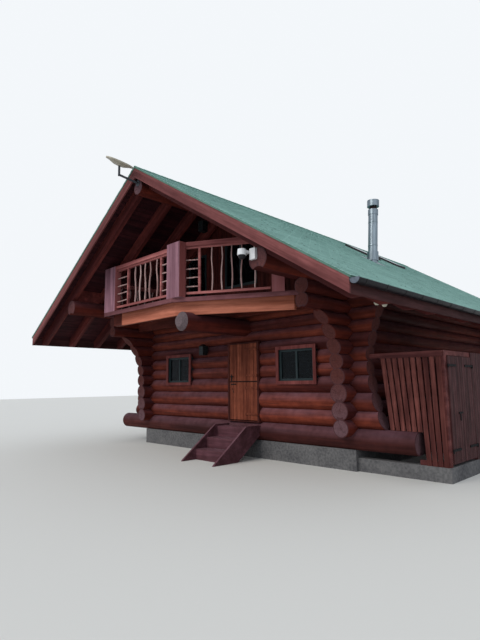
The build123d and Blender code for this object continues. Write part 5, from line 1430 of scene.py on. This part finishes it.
# %% Lines of the bays
SWAYS = (0.026, -0.030, 0.022, -0.034, 0.028, -0.020)
RAIL_Y, RETURN_X, FLOOR_Z = -5.490, -2.610, 3.729
LOW_Z, LEFT_TOP, RIGHT_TOP, RETURN_TOP = 3.856, 4.801, 4.876, 4.494
SLANT, SLANT_X = 0.56, 0.360
SLANT_COS = math.cos(math.atan(SLANT))
SLANT_LINE = RAIL_Y + (1 / SLANT_COS - 1) * 0.090


def slant_y(x):
    return SLANT_LINE + (x - SLANT_X) * SLANT


print("slanted side starts at y", round(slant_y(SLANT_X), 3))

# %% [markdown]
# With the lines of the bays known, the sticks are strung one by one. Each could be given its own
# bend by hand. A short list of sways, used again for each bay, looks just as uneven.

# %% Sticks and rungs
LEFT_BAY_X = (-1.297, -1.071, -0.849, -0.634, -0.341)
RIGHT_BAY_X = (1.152, 1.360, 1.564, 1.765, 2.023)
RETURN_BAY_Y = (-5.100, -4.840, -4.580, -4.320, -4.060, -3.800)
RUNG_RISES = (0.255, 0.465, 0.670, 0.880)
RUNG_FROM, RUNG_TO, RUNG_INSET = 0.570, 0.890, 0.0275
LEFT_RADIUS, RIGHT_RADIUS, RETURN_RADIUS, RUNG_RADIUS = 0.0205, 0.0165, 0.0195, 0.0155
verts, faces = [], []
for x, sway in zip(LEFT_BAY_X, SWAYS):
    peeled_stick(verts, faces, (x, RAIL_Y, LOW_Z), (x, RAIL_Y, LEFT_TOP), (sway, 0, 0), LEFT_RADIUS, 22)
for x, sway in zip(RIGHT_BAY_X, SWAYS):
    y = slant_y(x)
    aside = (sway / 2, sway * SLANT / 2, 0)
    peeled_stick(verts, faces, (x, y, LOW_Z), (x, y, RIGHT_TOP), aside, RIGHT_RADIUS, 22)
for y, sway in zip(RETURN_BAY_Y, SWAYS):
    foot, head = (RETURN_X, y, LOW_Z), (RETURN_X, y, RETURN_TOP)
    peeled_stick(verts, faces, foot, head, (0, sway, 0), RETURN_RADIUS, 18)
slant_from = RUNG_FROM + RUNG_INSET * SLANT_COS
slant_to = slant_from + ((RUNG_TO - RUNG_FROM) / SLANT_COS - 2 * RUNG_INSET) * SLANT_COS
rung_bays = [
    ((-2.160, RAIL_Y), (-1.6545, RAIL_Y)),
    ((-0.1275, RAIL_Y), (0.170, RAIL_Y)),
    ((slant_from, slant_y(slant_from)), (slant_to, slant_y(slant_to))),
]
for (x0, y0), (x1, y1) in rung_bays:
    for rise in RUNG_RISES:
        z = FLOOR_Z + rise
        tip = random.uniform(-0.006, 0.006)
        sag = random.uniform(-0.004, 0.004)
        peeled_stick(verts, faces, (x0, y0, z - tip), (x1, y1, z + tip), (0, 0, sag), RUNG_RADIUS, 12)
sticks = mesh_piece("peeled_sticks", verts, faces, stick_pale, "rail_wood", smooth=True)
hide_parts("balcony_sticks")

# %% [markdown]
# Straps are held by bolts with low domed heads. A whole bolt would be hidden in the wood, so only
# the head is made: three rings, the last one smaller. The head stands on a face that looks to the
# front or to the right.

# %% Bolt head
BOLT_RADIUS, BOLT_PROUD = 0.007, 0.005


def bolt(verts, faces, x, y, z, axis, radius=BOLT_RADIUS, proud=BOLT_PROUD):
    """A domed bolt head that stands on a face looking along -Y or +X."""
    out = Vector((0, -1, 0)) if axis == "Y" else Vector((1, 0, 0))
    across = Vector((1, 0, 0)) if axis == "Y" else Vector((0, 1, 0))
    centre = Vector((x, y, z))
    rings = []
    for lift, share in ((0.0, 1.0), (0.6, 1.0), (1.0, 0.6)):
        rings.append(ring_at(centre + out * proud * lift, across, UP, radius * share, 8))
    tube(verts, faces, rings)


print("bolt heads are", round(2000 * BOLT_RADIUS), "mm across")

# %% [markdown]
# Both leaves of the stable door have four bolts on each strap, and the lower one has a hook latch
# on two studs. The bolts ride on the leaf that carries them, so they swing with it. If they rode
# on the cabin, they would hang in the air when the door opens.

# %% Ironwork of the door
LEAF_FACE, STRAP_FACE = -3.507, -3.5323
HOOK_PATH = [(0.205, 1.640), (0.222, 1.618), (0.240, 1.596), (0.252, 1.574), (0.244, 1.556), (0.230, 1.560)]
HOOK_STUDS = [(0.205, 1.640), (0.255, 1.560)]
STUD_RADIUS, STUD_PROUD = 0.011, 0.012
STRAP_BOLTS_X = (0.690, 0.790, 0.900, 1.010)
for body, heights in (("door_upper", (1.974, 2.616)), ("door_lower", (1.030, 1.666))):
    verts, faces = [], []
    for z in heights:
        for x in STRAP_BOLTS_X:
            bolt(verts, faces, x, STRAP_FACE, z, "Y")
    if body == "door_lower":
        for x, z in HOOK_STUDS:
            bolt(verts, faces, x, LEAF_FACE, z, "Y", STUD_RADIUS, STUD_PROUD)
        rings = []
        for x, z in HOOK_PATH:
            rings.append(ring_at(Vector((x, LEAF_FACE - STUD_PROUD, z)), Vector((0.7, 0, 0.7)), FORWARD, 0.005, 6))
        tube(verts, faces, rings)
    mesh_piece(f"{body}_bolts", verts, faces, black_paint, "black_metal", body=body)

# %% [markdown]
# The gates of the store have shorter straps, with three bolts each. The bolts could be copies of
# those on the door, but the straps are shorter and face right, so they are made again in the same
# way, and ride on their own gate.

# %% Ironwork of the gates
GATE_STRAP_FACE = 5.5773
GATE_STRAP_HEIGHTS = (0.550, 2.065)
for body, y_values in (("gate_left", (-3.20, -3.10, -2.98)), ("gate_right", (-2.13, -2.23, -2.35))):
    verts, faces = [], []
    for z in GATE_STRAP_HEIGHTS:
        for y in y_values:
            bolt(verts, faces, GATE_STRAP_FACE, y, z, "X")
    mesh_piece(f"{body}_bolts", verts, faces, black_paint, "black_metal", body=body)

# %% [markdown]
# The gutter is a half-round trough, held by a bracket every 600 mm. Each bracket is a flat band
# that follows the trough from one lip to the other. A ring cut in half would do, but the band has
# to be a closed form with its own thickness, so it is a skin over squared rings.

# %% Gutter brackets
GUTTER_X, GUTTER_Z, GUTTER_RADIUS = 5.6053, 3.198, 0.075
BRACKET_PITCH, BRACKET_HALF, BRACKET_THICK, BRACKET_STEPS = 0.60, 0.0125, 0.0022, 12
verts, faces = [], []
y = FRONT_RAKE + 0.25
while y < REAR_RAKE - 0.1:
    rings = []
    for step in range(BRACKET_STEPS + 1):
        angle = math.pi + math.pi * step / BRACKET_STEPS
        outward = Vector((math.cos(angle), 0, math.sin(angle)))
        centre = Vector((GUTTER_X, y, GUTTER_Z)) + outward * (GUTTER_RADIUS + 0.003)
        ring = []
        for back, lift in ((-1, -1), (-1, 1), (1, 1), (1, -1)):
            ring.append(centre + Vector((0, back * BRACKET_HALF, 0)) + outward * (lift * BRACKET_THICK))
        rings.append(ring)
    tube(verts, faces, rings)
    y += BRACKET_PITCH
mesh_piece("gutter_brackets", verts, faces, black_paint, "black_metal")

# %% [markdown]
# The front end of the gutter is closed by a pale half-round cap, the one bright spot on the eave.
# A disc cut in half by a boolean would do as well. One row of corners round half a circle is less
# work, and makes a thin prism, a little larger than the trough.

# %% Gutter end cap
CAP_STEPS = 16
CAP_BACK, CAP_FRONT, CAP_LIFT = -6.3702, -6.379, 0.006
CAP_WIDE, CAP_DEEP = 0.081, 0.086
low = []
for step in range(CAP_STEPS + 1):
    angle = math.pi + math.pi * step / CAP_STEPS
    rim_z = GUTTER_Z + CAP_LIFT + CAP_DEEP * math.sin(angle)
    low.append((GUTTER_X + CAP_WIDE * math.cos(angle), CAP_BACK, rim_z))
high = [(x, CAP_FRONT, z) for x, _, z in low]
verts, faces = [], []
prism(verts, faces, list(reversed(low)), list(reversed(high)))
mesh_piece("gutter_end_cap", verts, faces, cap_metal, "light_metal")

# %% [markdown]
# The lanterns have panes behind bars. The CAD body is a plain dark case, and panes lie just proud of
# its four faces, with an upright and a cross bar over each. Cutting windows in so small a body
# would show no more at this distance.

# %% Lanterns
PANE_PROUD, BAR_PROUD = 0.0015, 0.005


def lantern_trim(panes, bars, x, y, z, width, height):
    """Panes on four faces of a lantern, and bars over them."""
    half = width / 2
    front = -half - PANE_PROUD
    pane = (-half + 0.018, half - 0.018, front, -half + 0.001, 0.022, height - 0.016)
    upright = (-0.004, 0.004, -half - BAR_PROUD, front, 0.018, height - 0.012)
    middle = height * 0.5
    cross = (-half + 0.012, half - 0.012, -half - BAR_PROUD, front, middle, middle + 0.007)
    for quarter in range(4):
        place = Matrix.Translation((x, y, z)) @ Matrix.Rotation(math.pi / 2 * quarter, 4, "Z")
        for (verts, faces), boxes in ((panes, [pane]), (bars, [upright, cross])):
            start = len(verts)
            for box in boxes:
                bar(verts, faces, *box)
            verts[start:] = [tuple(place @ Vector(corner)) for corner in verts[start:]]


WALL_LANTERN = (-0.830, -3.6093, 2.552, 0.165, 0.240)
GABLE_LANTERN = (0.0, -4.325, 5.670, 0.170, 0.270)
panes, bars = ([], []), ([], [])
for lantern in (WALL_LANTERN, GABLE_LANTERN):
    lantern_trim(panes, bars, *lantern)
mesh_piece("lantern_panes", *panes, lantern_glass, "clear_glass")
mesh_piece("lantern_bars", *bars, black_paint, "black_metal")

# %% [markdown]
# The flue is made of lengths of steel pipe with a clamp at each joint, and in the gap under its cap
# a dark tube stands for the shade inside, as painted shade. It leans a little, so each band is built
# from level rings whose centres follow the lean. Turned cylinders would have their edges out of level.

# %% Flue clamps and gap
FLUE_FOOT = Vector((2.75, -0.65, APEX - 2.75 * math.tan(ANGLE)))
FLUE_LEAN, FLUE_SIDES = 0.038, 32
JOINT_RADIUS, CLAMP_RADIUS, CAP_RADIUS = 0.1255, 0.1285, 0.162


def flue_rings(levels):
    rings = []
    for z, radius in levels:
        rise = z - FLUE_FOOT.z
        centre = Vector((FLUE_FOOT.x + FLUE_LEAN * rise, FLUE_FOOT.y + FLUE_LEAN * rise, z))
        rings.append(ring_at(centre, ACROSS, FORWARD, radius, FLUE_SIDES))
    return rings


verts, faces = [], []
JOINTS_Z, CAP_EDGES_Z, GAP_Z = (5.45, 6.10), (6.555, 6.714), (6.462, 6.548)
CAP_ROUND, GAP_RADIUS = 0.003, 0.0965
clamp = ((-0.020, JOINT_RADIUS), (-0.018, CLAMP_RADIUS), (0.018, CLAMP_RADIUS), (0.020, JOINT_RADIUS))
for z in JOINTS_Z:
    tube(verts, faces, flue_rings([(z + rise, radius) for rise, radius in clamp]))
for z in CAP_EDGES_Z:
    eased = CAP_RADIUS - CAP_ROUND
    tube(verts, faces, flue_rings([(z - 0.006, eased), (z, CAP_RADIUS), (z + 0.006, eased)]))
mesh_piece("flue_clamps", verts, faces, flue_steel, "flue_steel", smooth=True)
# A dark tube in the gap under the cap: painted shade.
verts, faces = [], []
tube(verts, faces, flue_rings([(z, GAP_RADIUS) for z in GAP_Z]))
mesh_piece("flue_gap_shadow", verts, faces, check_dark, "black_metal")

# %% [markdown]
# A rail is nailed across the heads of the leaning slats and ties them together. One long box could
# stand for it, but its lower edge wavers, as a sawn edge does, so it is a row of short prisms. Its
# length and height are read from the CAD box of the slats, so it always fits them.

# %% Rail over the slats
RAIL_STEPS, RAIL_DEEP, RAIL_THICK = 14, 0.105, 0.020
slat_low, slat_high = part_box("store_front_slats")
rail_front = slat_low[1] - RAIL_THICK
verts, faces = [], []
for step in range(RAIL_STEPS):
    x0, x1 = (slat_low[0] + (slat_high[0] - slat_low[0]) * (step + k) / RAIL_STEPS for k in (0, 1))
    dip = [0.004 * math.sin(2.1 * x) for x in (x0, x1)]
    foot, top = slat_high[2] - RAIL_DEEP, slat_high[2] - 0.002
    ring = [(x0, rail_front, foot + dip[0]), (x1, rail_front, foot + dip[1])]
    ring += [(x1, rail_front, top), (x0, rail_front, top)]
    prism(verts, faces, [(x, slat_low[1], z) for x, _, z in ring], ring)
mesh_piece("store_slat_rail", verts, faces, store_timber, "store_wood")
print("slat rail from", round(slat_low[0], 3), "to", round(slat_high[0], 3), "front", round(rail_front, 4))

# %% [markdown]
# Nail heads line up on the boards and slats of the store, where the rails behind carry them. Dots
# in the finish would do for the boards. The slats lean more from one to the next, so here each nail
# is a small bolt head, and its place is worked out between the slat's foot and its top.

# %% Nails
NAIL = (0.0045, 0.002)
BOARD_FACE, SLAT_FACE = 5.5600, -3.3780
SLAT_FOOT_Z, SLAT_TOP_Z, SLATS = 0.264, 2.335, 10
BOARD_NAILS_Z, SLAT_NAILS_Z = (0.306, 1.345, 2.290), (0.308, 2.290)
verts, faces = [], []
for z in BOARD_NAILS_Z:
    y = -2.03
    while y < 0.28:
        bolt(verts, faces, BOARD_FACE, y, z, "X", *NAIL)
        y += 0.053
for number in range(SLATS):
    share = number / (SLATS - 1)
    foot, top = 4.510 + share * 0.925, 4.300 + share * 1.100
    for z in SLAT_NAILS_Z:
        if z < 0.8 and foot < 5.03:
            continue
        at = (z - SLAT_FOOT_Z) / (SLAT_TOP_Z - SLAT_FOOT_Z)
        bolt(verts, faces, foot + at * (top - foot) + 0.042, SLAT_FACE, z, "Y", *NAIL)
mesh_piece("fence_nails", verts, faces, black_paint, "black_metal")
